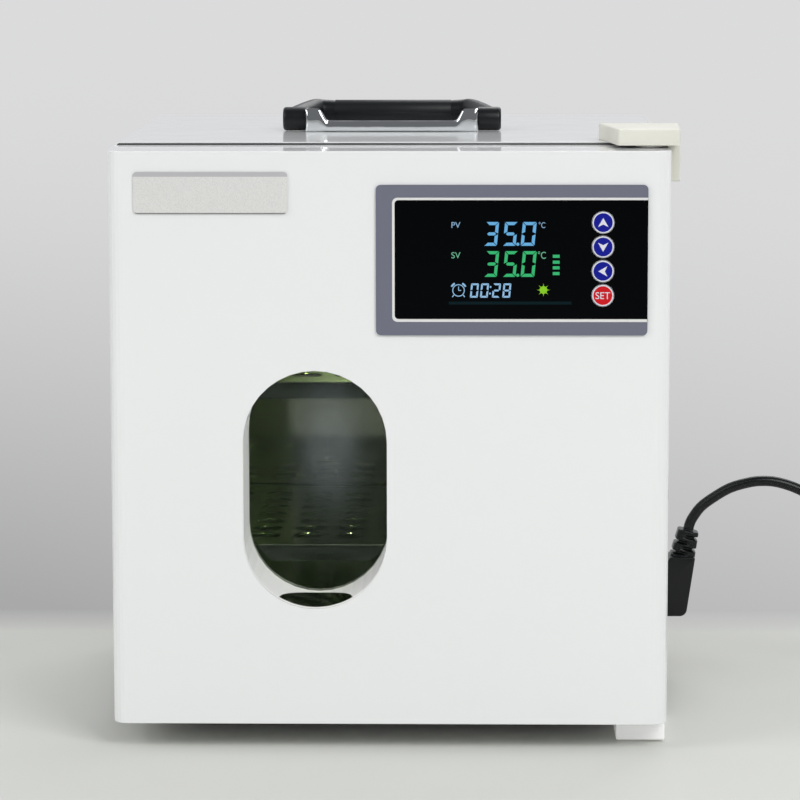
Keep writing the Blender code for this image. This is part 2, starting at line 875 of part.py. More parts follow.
def shelf(name, level):
    """A perforated shelf with a folded lip at its front, lying on two ledges."""
    side = CHAMBER_HALF - 2 * SEAT - SHEET
    low = level_height(level) + SEAT
    columns = round(2 * (side - LEDGE_WIDTH) / SHELF_HOLE_PITCH)
    rows = round((SHELF_BACK - SHELF_FRONT) / SHELF_HOLE_PITCH) - 1
    middle = (SHELF_FRONT + SHELF_BACK) / 2
    outline = rectangle(-side, side, SHELF_FRONT, SHELF_BACK)
    plate = prism(name, "z", outline, low, low + SHEET, stainless())
    holes = rod("holes", "z", (0, middle), SHELF_HOLE / 2, low - OVERRUN, low + OVERRUN, None, 8)
    repeated(holes, columns, (SHELF_HOLE_PITCH, 0, 0))
    cut(plate, repeated(holes, rows, (0, SHELF_HOLE_PITCH, 0)))
    lip_half = side - LEDGE_WIDTH
    lip = box(
        "shelf_lip",
        (-lip_half, SHELF_FRONT, low + SHEET - SHELF_LIP),
        (lip_half, SHELF_FRONT + SHEET, low + SHEET - LIP / 2),
    )
    return join(plate, lip)


# Electronics in the bay


def power_board():
    """The supply and heater drive: a board on four spacers with its larger components.

    A component's place is given in shares of the board, and its height in shares of the tallest.
    """
    low = FLOOR_TOP + SUPPLY_LIFT
    top = low + BOARD_THICKNESS
    left, front = -SUPPLY_WIDTH / 2, (FRONT + BACK - SUPPLY_DEPTH) / 2
    right, back = left + SUPPLY_WIDTH, front + SUPPLY_DEPTH
    board = box("power_board", (left, front, low), (right, back, top), board_green())
    for x in (left + SPACER_INSET, right - SPACER_INSET):
        for y in (front + SPACER_INSET, back - SPACER_INSET):
            spacer = rod("spacer", "z", (x, y), SPACER_RADIUS, FLOOR_TOP + SEAT, low + LIP, None, 8)
            join(board, spacer)
    blocks = (
        ("transformer", 0.11, 0.38, 0.18, 0.47, 1.0),
        ("heat_sink", 0.12, 0.46, 0.64, 0.76, 0.85),
        ("relay", 0.63, 0.77, 0.60, 0.85, 0.58),
        ("terminals", 0.62, 0.94, 0.06, 0.15, 0.38),
    )
    for name, u0, u1, v0, v1, rise in blocks:
        near = (left + u0 * SUPPLY_WIDTH, front + v0 * SUPPLY_DEPTH, top - LIP)
        far = (left + u1 * SUPPLY_WIDTH, front + v1 * SUPPLY_DEPTH, top + rise * COMPONENT_HEIGHT)
        join(board, box(name, near, far))
    for u, radius, rise in ((0.55, 0.35, 0.92), (0.74, 0.23, 0.69)):
        centre = (left + u * SUPPLY_WIDTH, front + 0.36 * SUPPLY_DEPTH)
        height = top + rise * COMPONENT_HEIGHT
        radius *= COMPONENT_HEIGHT
        join(board, rod("capacitor", "z", centre, radius, top - LIP, height, None, 10))
    return board


def blades():
    """The three contact blades of the inlet as (y, z) centres: two in a row and the earth beyond."""
    return (
        (INLET_Y - SOCKET_WIDTH * 0.12, INLET_Z - BLADE_SPACING),
        (INLET_Y - SOCKET_WIDTH * 0.12, INLET_Z + BLADE_SPACING),
        (INLET_Y + SOCKET_WIDTH * 0.2, INLET_Z),
    )


def socket_outline(shrink):
    half_width = SOCKET_WIDTH / 2 - shrink
    half_height = SOCKET_HEIGHT / 2 - shrink
    near, far = INLET_Y - half_width, INLET_Y + half_width
    low, high = INLET_Z - half_height, INLET_Z + half_height
    return [
        Vector(point)
        for point in (
            (near, low),
            (far - SOCKET_CHAMFER, low),
            (far, low + SOCKET_CHAMFER),
            (far, high - SOCKET_CHAMFER),
            (far - SOCKET_CHAMFER, high),
            (near, high),
        )
    ]


def blade_outline(y, z, grow=0.0):
    half = BLADE_THICKNESS / 2 + grow
    wide = BLADE_WIDTH / 2 + grow
    return rectangle(y - wide, y + wide, z - half, z + half)


def inlet_module():
    """The mains inlet in the right wall: socket, fuse bay and switch bay behind one flange."""
    start = INLET_Y - INLET_FRONT
    half = INLET_FLANGE_HEIGHT / 2
    flange = rectangle(start, start + INLET_LENGTH, INLET_Z - half, INLET_Z + half, 0.002, 2)
    module = prism(
        "inlet_module", "x", flange, HALF + SEAT, OUTLET_FACE, black_plastic()
    )
    back = OUTLET_FACE - INLET_BODY_DEPTH
    join(module, inlet_opening(0, back, HALF + SEAT + LIP))
    fuse = FUSE_WIDTH / 2
    tall = FUSE_HEIGHT / 2
    fuse_y = INLET_Y + FUSE_OFFSET
    rocker_y = INLET_Y + ROCKER_OFFSET
    wide, long = ROCKER_WIDTH / 2, ROCKER_LENGTH / 2
    outside = OUTLET_FACE + OVERRUN
    cut(
        module,
        prism("socket", "x", socket_outline(0), OUTLET_FACE - SOCKET_DEPTH, outside),
        prism(
            "fuse_bay",
            "x",
            rectangle(fuse_y - fuse, fuse_y + fuse, INLET_Z - tall, INLET_Z + tall),
            OUTLET_FACE - FUSE_DEPTH,
            outside,
        ),
        prism(
            "switch_bay",
            "x",
            rectangle(rocker_y - wide, rocker_y + wide, INLET_Z - long, INLET_Z + long),
            OUTLET_FACE - ROCKER_DEPTH,
            outside,
        ),
    )
    for y, z in blades():
        root = OUTLET_FACE - SOCKET_DEPTH - LIP
        join(module, prism("blade", "x", blade_outline(y, z), root, root + BLADE_LENGTH))
    return module


def fuse_drawer():
    """The drawer that holds the fuses, with a raised rib to pull it by."""
    y = INLET_Y + FUSE_OFFSET
    half = FUSE_WIDTH / 2 - SEAT
    tall = FUSE_HEIGHT / 2 - SEAT
    start = OUTLET_FACE - FUSE_DEPTH + SEAT
    drawer = prism(
        "fuse_drawer",
        "x",
        rectangle(y - half, y + half, INLET_Z - tall, INLET_Z + tall),
        start,
        OUTLET_FACE + LIP,
        black_plastic(),
    )
    rib = box(
        "drawer_rib",
        (OUTLET_FACE, y - half * 0.7, INLET_Z + tall * 0.6),
        (OUTLET_FACE + FUSE_RIB, y + half * 0.7, INLET_Z + tall * 0.9),
    )
    bore = box(
        "fuse_pocket",
        (start + FUSE_WALL, y - half * 0.7, INLET_Z - tall * 0.8),
        (OUTLET_FACE - FUSE_WALL, y + half * 2, INLET_Z + tall * 0.8),
    )
    return cut(join(drawer, rib), bore)


def rocker_switch():
    """The rocker, a shallow V in section, tilted to its on side."""
    long = ROCKER_LENGTH / 2 - 2 * SEAT
    wide = ROCKER_WIDTH / 2 - SEAT
    valley = ROCKER_CREST - long * math.tan(ROCKER_TILT)
    shoulder = ROCKER_CREST - ROCKER_SINK
    heel = -ROCKER_BELLY / 3
    section = filleted(
        [
            (heel, -long, 0),
            (shoulder, -long, 0),
            (ROCKER_CREST, LIP - long, LIP),
            (valley, 0, 0),
            (ROCKER_CREST, long - LIP, LIP),
            (shoulder, long, 0),
            (heel, long, 0),
            (-ROCKER_BELLY, long * 0.35, SHEET),
            (-ROCKER_BELLY, -long * 0.35, SHEET),
        ],
        2,
    )
    rocker = prism("rocker_switch", "y", section, -wide, wide, black_plastic())
    rocker.location = (OUTLET_FACE - ROCKER_SINK, INLET_Y + ROCKER_OFFSET, INLET_Z)
    rocker.rotation_euler = (0, -ROCKER_TILT, 0)
    return rocker


# Handle


def handle_base():
    """The bright steel base: a plate with an ear at each end and gussets across its front."""
    front = HANDLE_Y - HANDLE_BASE_DEPTH / 2
    back = front + HANDLE_BASE_DEPTH
    low = TOP + SEAT
    steel = paint("bright_steel", (225, 225, 225), 0.12, 1.0)
    base = box("handle_base", (-EAR_X, front, low), (EAR_X, back, low + HANDLE_SHEET), steel)
    ear_low, ear_top = low + LIP, low + EAR_HEIGHT
    ear = filleted(
        [
            (HANDLE_Y - EAR_DEPTH / 2, ear_low, 0),
            (HANDLE_Y + EAR_DEPTH / 2, ear_low, 0),
            (HANDLE_Y + EAR_DEPTH * 0.38, ear_top, 0.004),
            (HANDLE_Y - EAR_DEPTH * 0.38, ear_top, 0.004),
        ]
    )
    bore = circle(HANDLE_Y, HANDLE_Z, HANDLE_PIN_RADIUS + SEAT, 12)
    for side in (-1, 1):
        start, end = sorted((side * EAR_X, side * (EAR_X - HANDLE_SHEET)))
        join(base, prism("ear", "x", ear, start, end, None, [bore]))
    shoulder = EAR_X - GUSSET_WIDTH
    gusset = [
        (shoulder - 0.002, low + BASE_RIM, 0.003),
        (shoulder, low + BASE_RIM, 0.001),
        (shoulder + GUSSET_WIDTH * 0.5, ear_top, 0.003),
        (EAR_X, ear_top, 0),
    ]
    right = [(EAR_X, ear_low, 0), *[(x, z, r) for x, z, r in reversed(gusset)]]
    left = [(-x, z, r) for x, z, r in reversed(right)]
    rim = filleted([*right, *left], 3)
    return join(base, prism("gussets", "y", rim, front, front + HANDLE_SHEET))


def handle_pin(name, side):
    """A pivot pin: its head lies inside the ear and its shank in the barrel's bore."""
    inner = EAR_X - HANDLE_SHEET - SEAT
    head = PIN_HEAD_HEIGHT
    length = head + HANDLE_SHEET + SEAT + BARREL_LENGTH * 0.7
    profile = [
        (0, length),
        (HANDLE_PIN_RADIUS, length),
        (HANDLE_PIN_RADIUS, head),
        (HANDLE_PIN_HEAD, head),
        (HANDLE_PIN_HEAD, 0),
        (0, 0),
    ]
    start = (side * (inner - head), HANDLE_Y, HANDLE_Z)
    return turned(name, profile, start, (side, 0, 0), zinc(), 12)


def handle_arm(side):
    """One elbow of the bail, from its barrel to its end of the bar."""
    middle = EAR_X + SEAT + BARREL_LENGTH / 2
    grip_end = GRIP_LENGTH / 2 + SEAT
    rise = BAR_Z - HANDLE_Z
    route = [
        (side * middle, HANDLE_Y, HANDLE_Z),
        (side * middle, HANDLE_Y + BAR_REACH * 0.3, HANDLE_Z + rise * 0.14),
        (side * (middle - ARM_CROOK * 0.3), HANDLE_Y + BAR_REACH * 0.62, HANDLE_Z + rise * 0.56),
        (side * (middle - ARM_CROOK), BAR_Y - BAR_RADIUS / 4, BAR_Z - rise * 0.07),
        (side * (grip_end + ARM_CROOK * 0.35), BAR_Y, BAR_Z),
        (side * grip_end, BAR_Y, BAR_Z),
    ]
    return tube("handle_arm", smooth_line(route, 0.006), BAR_RADIUS, None, 2)


def handle_bail():
    """The black moulding that folds: two barrels, two elbows and the core under the grip."""
    bail = rod(
        "handle_bail",
        "x",
        (BAR_Y, BAR_Z),
        CORE_RADIUS,
        -GRIP_LENGTH / 2 - CORE_RADIUS,
        GRIP_LENGTH / 2 + CORE_RADIUS,
        black_plastic(),
        12,
    )
    start = EAR_X + SEAT
    for side in (-1, 1):
        profile = [
            (0, BARREL_LENGTH),
            (BARREL_RADIUS - BARREL_CHAMFER, BARREL_LENGTH),
            (BARREL_RADIUS, BARREL_LENGTH - BARREL_CHAMFER),
            (BARREL_RADIUS, 0),
            (0, 0),
        ]
        centre = (side * start, HANDLE_Y, HANDLE_Z)
        barrel = turned("barrel", profile, centre, (side, 0, 0), None, 20)
        join(bail, handle_arm(side), barrel)
        bore_start, bore_end = sorted(
            (side * (start - OVERRUN), side * (start + BARREL_LENGTH * 0.7 + SEAT))
        )
        radius = HANDLE_PIN_RADIUS + SEAT
        cut(bail, rod("pin_bore", "x", (HANDLE_Y, HANDLE_Z), radius, bore_start, bore_end, None, 12))
    return bail


def handle_grip():
    """The soft sleeve round the bar's core."""
    profile = [
        (CORE_RADIUS + SEAT, GRIP_LENGTH),
        (GRIP_RADIUS - LIP, GRIP_LENGTH),
        (GRIP_RADIUS, GRIP_LENGTH - LIP),
        (GRIP_RADIUS, LIP),
        (GRIP_RADIUS - LIP, 0),
        (CORE_RADIUS + SEAT, 0),
        (CORE_RADIUS + SEAT, GRIP_LENGTH),
    ]
    start = (-GRIP_LENGTH / 2, BAR_Y, BAR_Z)
    grip = paint("grip_rubber", (44, 46, 52), 0.55)
    return turned("handle_grip", profile, start, (1, 0, 0), grip, 20)


# Hinges


def hinge_pin(name, foot_z, direction):
    """A headed pin; its shank runs from its bracket into the door's bush."""
    head = PIN_HEAD_HEIGHT
    length = head + SEAT + HINGE_PLATE + HINGE_PIN_REACH + BUSH_FLANGE_THICKNESS
    profile = [
        (0, length),
        (HINGE_PIN_RADIUS - LIP, length),
        (HINGE_PIN_RADIUS, length - LIP),
        (HINGE_PIN_RADIUS, head),
        (HINGE_PIN_HEAD, head),
        (HINGE_PIN_HEAD, 0),
        (0, 0),
    ]
    start = (HINGE_X, HINGE_Y, foot_z - direction * (head + SEAT))
    return turned(name, profile, start, (0, 0, direction), zinc(), 14)


def hinge_bush(name, face_z, direction):
    """A flanged plastic bush in the door's end; direction points out of the door."""
    bore = HINGE_PIN_RADIUS + SEAT
    outer = bore + BUSH_WALL
    depth = HINGE_PIN_REACH + OVERRUN / 5
    flange = BUSH_FLANGE_THICKNESS
    profile = [
        (bore, flange),
        (BUSH_FLANGE, flange),
        (BUSH_FLANGE, 0),
        (outer, 0),
        (outer, -depth),
        (bore, -depth),
        (bore, flange),
    ]
    start = (HINGE_X, HINGE_Y, face_z + direction * SEAT)
    return turned(name, profile, start, (0, 0, direction), white_plastic(), 14)


def upper_hinge():
    """Bracket, pin and cream cover over the door's upper right corner."""
    low = TOP + SEAT
    right = HALF + COVER_OVERHANG
    inset = COVER_WALL + 2 * SEAT
    left = right - COVER_FRONT_WIDTH
    plate = filleted(
        [
            (left + inset + 0.001, COVER_FRONT + inset, 0.004),
            (HALF - inset, COVER_FRONT + inset, 0.004),
            (HALF - inset, COVER_BACK - inset, 0.002),
            (left - 0.002, COVER_BACK - inset, 0.002),
        ]
    )
    bore = circle(HINGE_X, HINGE_Y, HINGE_PIN_RADIUS + SEAT, 14)
    prism("upper_hinge_bracket", "z", plate, low, low + HINGE_PLATE, zinc(), [bore])
    hinge_pin("upper_hinge_pin", low + HINGE_PLATE, -1)
    cream = paint("cream_plastic", (228, 228, 218), 0.45)
    floor = DOOR_TOP + 0.001
    roof = floor + COVER_HEIGHT
    back_left = right - COVER_BACK_WIDTH
    outline = filleted(
        [
            (left, COVER_FRONT, 0.0015),
            (right, COVER_FRONT, 0.0015),
            (right + COVER_FLARE, COVER_BACK, 0.003),
            (back_left, COVER_BACK, 0.003),
        ]
    )
    cover = rounded(prism("upper_hinge_cover", "z", outline, floor, roof, cream), 0.0005)
    inside = filleted(
        [
            (left + COVER_WALL, COVER_FRONT + COVER_WALL, 0),
            (HALF - COVER_WALL / 2, COVER_FRONT + COVER_WALL, 0),
            (HALF - COVER_WALL / 2, COVER_BACK - COVER_WALL, 0),
            (back_left + COVER_WALL, COVER_BACK - COVER_WALL, 0),
        ]
    )
    leg = rounded(
        box(
            "cover_leg",
            (HALF + SEAT, FRONT + 0.002, TOP - COVER_LEG),
            (right + COVER_FLARE, COVER_BACK - 0.003, roof - COVER_WALL),
        ),
        0.0005,
    )
    cut(
        cover,
        prism("cover_inside", "z", inside, floor - OVERRUN, roof - COVER_WALL),
        box("cover_step", (0, FRONT - SEAT, floor - OVERRUN), (HALF + SEAT, BACK, low)),
    )
    return join(cover, leg)


def lower_hinge():
    """Bracket, pin and white cover under the door's lower right corner."""
    high = BOTTOM - SEAT - BUSH_FLANGE_THICKNESS - SEAT
    low = high - HINGE_PLATE
    left, right = HALF - LOWER_COVER_LEFT, HALF - SHEET / 2
    front = COVER_FRONT - 0.002
    plate = rectangle(left + 0.001, right - 0.001, front + 0.006, LOWER_COVER_BACK, 0.004)
    bore = circle(HINGE_X, HINGE_Y, HINGE_PIN_RADIUS + SEAT, 14)
    bracket = prism("lower_hinge_bracket", "z", plate, low, high, zinc(), [bore])
    pad = box(
        "bracket_pad",
        (left + 0.005, FRONT + 0.002, high - LIP),
        (right - 0.005, LOWER_COVER_BACK - 0.004, BOTTOM - SEAT),
    )
    join(bracket, pad)
    hinge_pin("lower_hinge_pin", low, 1)
    roof = low - SEAT
    floor = roof - LOWER_COVER_HEIGHT
    tray = rounded(
        box(
            "lower_hinge_cover",
            (left, front, floor),
            (right, LOWER_COVER_BACK, roof),
            white_plastic(),
        ),
        0.0008,
    )
    return cut(
        tray,
        box(
            "tray_hollow",
            (left + COVER_WALL, front + COVER_WALL, floor + COVER_WALL),
            (right - COVER_WALL, LOWER_COVER_BACK - COVER_WALL, roof + OVERRUN),
        ),
    )


# Door


def door_section(inset, back):
    """The door in plan: square at the back, rounded at its two front edges."""
    side = HALF - inset
    return filleted(
        [
            (-side, back, 0),
            (-side, inset, DOOR_CORNER - inset),
            (side, inset, DOOR_CORNER - inset),
            (side, back, 0),
        ],
        6,
    )


def window_rectangle(grow, radius=0.0, steps=3):
    half = WINDOW_WIDTH / 2 + grow
    left, right = WINDOW_X - half, WINDOW_X + half
    return rectangle(left, right, WINDOW_LOW - grow, WINDOW_HIGH + grow, radius, steps)


def window_outline():
    """The window's opening, with round ends."""
    return window_rectangle(0, WINDOW_WIDTH / 2 * 0.999, 9)


def key_places():
    first = DOOR_TOP - KEY_DROP
    return [(HALF - KEY_SIDE, first - k * KEY_PITCH) for k in range(len(KEY_NAMES))]


def bush_holes(name, clearance):
    radius = HINGE_PIN_RADIUS + SEAT + BUSH_WALL + clearance
    depth = HINGE_PIN_REACH + OVERRUN / 5 + 2 * SEAT
    centre = (HINGE_X, HINGE_Y)
    return (
        rod(name, "z", centre, radius, DOOR_TOP - depth, DOOR_TOP + OVERRUN),
        rod(name, "z", centre, radius, BOTTOM - OVERRUN, BOTTOM + depth),
    )


def door_skin():
    """The enamelled pan of the door, cut for the window, the display, the keys and the bushes."""
    back = DOOR_DEPTH - PANEL_THICKNESS - SEAT
    skin = prism("door_skin", "z", door_section(0, back), BOTTOM, DOOR_TOP, white_enamel())
    rounded(skin, SHEET * 0.8)
    inner = door_section(SHEET, back + OVERRUN)
    cut(skin, prism("skin_inside", "z", inner, BOTTOM + SHEET, DOOR_TOP - SHEET))
    cut(skin, prism("window_cut", "y", window_outline(), -OVERRUN, OVERRUN))
    display = rectangle(LCD_LEFT, LCD_LEFT + LCD_WIDTH, LCD_LOW, LCD_LOW + LCD_HEIGHT)
    cut(skin, prism("display_cut", "y", display, -OVERRUN, OVERRUN))
    for place_of in key_places():
        radius = KEY_STEM_RADIUS + SEAT
        cut(skin, rod("key_cut", "y", place_of, radius, -OVERRUN, OVERRUN, None, 12))
    return cut(skin, *bush_holes("skin_bush_hole", SEAT))


def door_inner_panel():
    """The moulded back of the door, whose raised middle enters the chamber's mouth."""
    outline = rectangle(-HALF, HALF, BOTTOM, DOOR_TOP)
    flat = DOOR_DEPTH - PANEL_THICKNESS
    panel = prism("door_inner_panel", "y", outline, flat, DOOR_DEPTH, white_plastic())
    side = CHAMBER_HALF - PLUG_CLEARANCE
    low, high = CHAMBER_FLOOR + PLUG_CLEARANCE, CHAMBER_TOP - PLUG_CLEARANCE
    plug = rounded(
        prism(
            "plug_form",
            "y",
            rectangle(-side, side, low, high, CHAMBER_CORNER),
            DOOR_DEPTH - LIP,
            DOOR_DEPTH + PLUG_DEPTH,
        ),
        0.002,
    )
    join(panel, plug)
    wall = PANEL_THICKNESS
    hollow = rectangle(-side + wall, side - wall, low + wall, high - wall, CHAMBER_CORNER - wall)
    return cut(
        panel,
        prism("plug_hollow", "y", hollow, flat - OVERRUN, DOOR_DEPTH + PLUG_DEPTH - wall),
        prism("inner_window_cut", "y", window_outline(), flat, DOOR_DEPTH + PLUG_DEPTH + OVERRUN),
    )


def pane_start():
    """Where the inner pane begins: it lies behind the raised middle's face."""
    return DOOR_DEPTH + PLUG_DEPTH - PANEL_THICKNESS - SEAT - PANE_THICKNESS


def door_insulation():
    """Foam between the skin and the inner panel, cut for the window and the electronics."""
    flat = DOOR_DEPTH - PANEL_THICKNESS - SEAT
    inset = SHEET + SEAT
    foam = prism(
        "door_insulation",
        "z",
        door_section(inset, flat),
        BOTTOM + inset,
        DOOR_TOP - inset,
        paint("foam", (225, 205, 150), 0.9),
    )
    gap = PLUG_CLEARANCE + PANEL_THICKNESS + SEAT
    side = CHAMBER_HALF - gap
    corner = CHAMBER_CORNER - PANEL_THICKNESS
    middle = rectangle(-side, side, CHAMBER_FLOOR + gap, CHAMBER_TOP - gap, corner)
    rear = DOOR_DEPTH + PLUG_DEPTH - PANEL_THICKNESS - SEAT
    join(foam, prism("plug_foam", "y", middle, flat - LIP, rear))
    spacer = window_rectangle(SPACER_WALL + SEAT)
    pane = window_rectangle(PANE_MARGIN + SEAT, CHAMBER_CORNER)
    cut(
        foam,
        prism("spacer_hole", "y", spacer, -OVERRUN, rear + OVERRUN),
        prism("outer_pane_seat", "y", pane, -OVERRUN, SHEET + PANE_THICKNESS + 2 * SEAT),
        prism("inner_pane_seat", "y", pane, pane_start() - SEAT, rear + OVERRUN),
        box(
            "electronics_pocket",
            (PANEL_LEFT + POCKET_INSET, -OVERRUN, PANEL_LOW + POCKET_INSET),
            (PANEL_RIGHT - POCKET_INSET, POCKET_DEPTH, PANEL_HIGH - POCKET_INSET),
        ),
    )
    return cut(foam, *bush_holes("foam_bush_hole", SHEET))


def window_spacer():
    """The white moulded tunnel between the two panes, with the window's round ends."""
    start = SHEET + SEAT + PANE_THICKNESS + SEAT
    outer = window_rectangle(SPACER_WALL)
    end = pane_start() - SEAT
    return prism("window_spacer", "y", outer, start, end, white_plastic(), [window_outline()])


def window_panes():
    glass = paint("window_glass", (205, 215, 210), 0.05)
    outline = window_rectangle(PANE_MARGIN, CHAMBER_CORNER)
    start = SHEET + SEAT
    prism("window_pane_outer", "y", outline, start, start + PANE_THICKNESS, glass)
    start = pane_start()
    prism("window_pane_inner", "y", outline, start, start + PANE_THICKNESS, glass)


def door_gasket():
    """The soft ring that closes on the front frame round the chamber's mouth."""
    inner = GASKET_OFFSET
    outer = GASKET_OFFSET + GASKET_WIDTH
    rings = [
        rectangle(
            -CHAMBER_HALF - grow,
            CHAMBER_HALF + grow,
            CHAMBER_FLOOR - grow,
            CHAMBER_TOP + grow,
            grow,
        )
        for grow in (outer, inner)
    ]
    rubber = paint("gasket_grey", (205, 205, 202), 0.7)
    start = DOOR_DEPTH + SEAT
    return prism("door_gasket", "y", rings[0], start, FRONT - SEAT, rubber, [rings[1]])


# Control panel on the door


def control_fascia():
    """The grey border, open at the right where the lens runs to its edge."""
    inner_left = PANEL_LEFT + LENS_LEFT_MARGIN - SEAT
    inner_low, inner_high = PANEL_LOW + LENS_MARGIN - SEAT, PANEL_HIGH - LENS_MARGIN + SEAT
    outline = filleted(
        [
            (PANEL_LEFT, PANEL_LOW, PANEL_CORNER),
            (PANEL_RIGHT, PANEL_LOW, PANEL_CORNER),
            (PANEL_RIGHT, inner_low, 0),
            (inner_left, inner_low, LENS_CORNER + SEAT),
            (inner_left, inner_high, LENS_CORNER + SEAT),
            (PANEL_RIGHT, inner_high, 0),
            (PANEL_RIGHT, PANEL_HIGH, PANEL_CORNER),
            (PANEL_LEFT, PANEL_HIGH, PANEL_CORNER),
        ]
    )
    grey = paint("fascia_grey", (110, 112, 128), 0.5)
    return prism("control_fascia", "y", outline, -SEAT - PANEL_SKIN, -SEAT, grey)


def display_lens():
    """The black gloss lens over the display, with a round hole for each key."""
    low, high = PANEL_LOW + LENS_MARGIN, PANEL_HIGH - LENS_MARGIN
    left = PANEL_LEFT + LENS_LEFT_MARGIN
    outline = filleted(
        [
            (left, low, LENS_CORNER),
            (PANEL_RIGHT, low, 0),
            (PANEL_RIGHT, high, 0),
            (left, high, LENS_CORNER),
        ]
    )
    holes = [circle(*place_of, KEY_RADIUS + SEAT, 20) for place_of in key_places()]
    black = paint("lens_black", (12, 13, 16), 0.08)
    return prism("display_lens", "y", outline, -SEAT - PANEL_SKIN, -SEAT, black, holes)


def key(name, x, z, colour):
    """A round key: cap over the skin, stem through it and a collar behind that keeps it in."""
    front = -SEAT * 2 - KEY_CAP
    collar = SHEET + SEAT
    depths = [
        (0, 0),
        (KEY_RADIUS - LIP, 0),
        (KEY_RADIUS, LIP * 0.6),
        (KEY_RADIUS, KEY_CAP),
        (KEY_STEM_RADIUS, KEY_CAP),
        (KEY_STEM_RADIUS, collar - front),
        (KEY_COLLAR_RADIUS, collar - front),
        (KEY_COLLAR_RADIUS, collar - front + KEY_COLLAR),
        (0, collar - front + KEY_COLLAR),
    ]
    profile = [(radius, -depth) for radius, depth in depths]
    return turned(name, profile, (x, front, z), (0, -1, 0), colour, 20)


def keys():
    blue = paint("key_blue", (5, 20, 140), 0.35)
    red = paint("key_red", (205, 20, 30), 0.35)
    return [
        key(name, *place_of, red if name == "key_set" else blue)
        for name, place_of in zip(KEY_NAMES, key_places())
    ]


def lcd_module():
    """The display: a framed block behind the skin, with its glass standing in the cut-out."""
    start = SHEET + SEAT
    right, high = LCD_LEFT + LCD_WIDTH, LCD_LOW + LCD_HEIGHT
    module = box(
        "lcd_module",
        (LCD_LEFT - LCD_FRAME, start, LCD_LOW - LCD_FRAME),
        (right + LCD_FRAME, start + LCD_DEPTH, high + LCD_FRAME),
        paint("lcd_dark", (20, 24, 30), 0.2),
    )
    glass = box(
        "lcd_glass",
        (LCD_LEFT + SEAT, SEAT, LCD_LOW + SEAT),
        (right - SEAT, start + LIP, high - SEAT),
    )
    return join(module, glass)


def control_board():
    """The door's circuit board on four spacers, with a small switch behind each key."""
    start = SHEET + SEAT + LCD_DEPTH + SEAT
    left, right = PANEL_LEFT + BOARD_INSET, PANEL_RIGHT - BOARD_INSET
    low, high = PANEL_LOW + BOARD_INSET, PANEL_HIGH - BOARD_INSET
    board = box(
        "control_board", (left, start, low), (right, start + BOARD_THICKNESS, high), board_green()
    )
    for x in (left + POST_INSET, right - POST_INSET):
        for z in (low + POST_INSET, high - POST_INSET):
            join(board, rod("post", "y", (x, z), POST_RADIUS, SHEET + SEAT, start + LIP, None, 8))
    travel_end = SHEET + SEAT + KEY_COLLAR + KEY_TRAVEL + SEAT / 2
    for x, z in key_places():
        near = (x - SWITCH_HALF, travel_end, z - SWITCH_HALF)
        join(board, box("switch", near, (x + SWITCH_HALF, start + LIP, z + SWITCH_HALF)))
    rear = start + BOARD_THICKNESS
    width, height = right - left, high - low
    for name, u0, u1, v0, v1 in (("chip", 0.40, 0.49, 0.36, 0.54), ("plug_header", 0.62, 0.82, 0.06, 0.15)):
        near = (left + u0 * width, rear - LIP, low + v0 * height)
        join(board, box(name, near, (left + u1 * width, rear + SWITCH_HALF, low + v1 * height)))
    return board


def badge_plate():
    """The bare metal plate at the door's upper left."""
    left, low = BADGE_SIDE - HALF, DOOR_TOP - BADGE_DROP
    outline = rectangle(left, left + BADGE_WIDTH, low, low + BADGE_HEIGHT, BADGE_CORNER, 2)
    silver = paint("brushed_silver", (196, 197, 198), 0.35, 0.9)
    return prism("badge_plate", "y", outline, -3 * SEAT, -SEAT, silver)


# Mains lead


def neck_place(offset):
    """A place on the strain relief from its offset to the inlet's face and centre."""
    return Vector((OUTLET_FACE + offset[0], INLET_Y, INLET_Z + offset[1]))


def connector():
    """The right-angle connector in the socket, and its ribbed strain relief that points up."""
    foot_of, head_of = neck_place(NECK_FOOT), neck_place(NECK_HEAD)
    wide, narrow = NECK_RADII
    low, high = INLET_Z - CONNECTOR_DROP, INLET_Z + CONNECTOR_RISE
    shelf_z = foot_of.z + SHEET
    body_section = filleted(
        [
            (OUTLET_FACE + SEAT, low, 0),
            (OUTLET_FACE + CONNECTOR_REACH, low, CONNECTOR_CORNER),
            (foot_of.x + wide, shelf_z, 0.0012),
            (foot_of.x - wide, shelf_z, SHEET),
            (OUTLET_FACE + CONNECTOR_SHOULDER, high + SHEET, 2 * SHEET),
            (OUTLET_FACE + SEAT, high, 0),
        ]
    )
    half = CONNECTOR_WIDTH / 2
    body = prism("cord_connector", "y", body_section, INLET_Y - half, INLET_Y + half, cord_black())
    rounded(body, CORD_DIAMETER / 4)
    nose_end = OUTLET_FACE - SOCKET_DEPTH + SHEET
    nose = prism("nose", "x", socket_outline(SEAT * 2), nose_end, OUTLET_FACE + SHEET)
    axis = head_of - foot_of
    length = axis.length
    sunk = NECK_RADII[1] * 0.65
    pitch = length / (NECK_RIBS + 0.5)
    profile = [(0, length), (narrow, length)]
    for k in range(NECK_RIBS):
        at = length - (k + 0.5) * pitch
        radius = narrow + (wide - narrow) * (k + 0.5) / NECK_RIBS
        profile += [
            (radius, at + pitch * 0.2),
            (radius * 0.8, at + pitch * 0.1),
            (radius * 0.8, at - pitch * 0.2),
            (radius, at - pitch * 0.3),
        ]
    profile += [(wide, -sunk), (0, -sunk)]
    join(body, nose, turned("neck", profile, foot_of, axis, None, 14))
    for y, z in blades():
        slot = blade_outline(y, z, SEAT * 1.5)
        cut(body, prism("slot", "x", slot, nose_end - OVERRUN, nose_end + BLADE_LENGTH + SHEET))
    return body


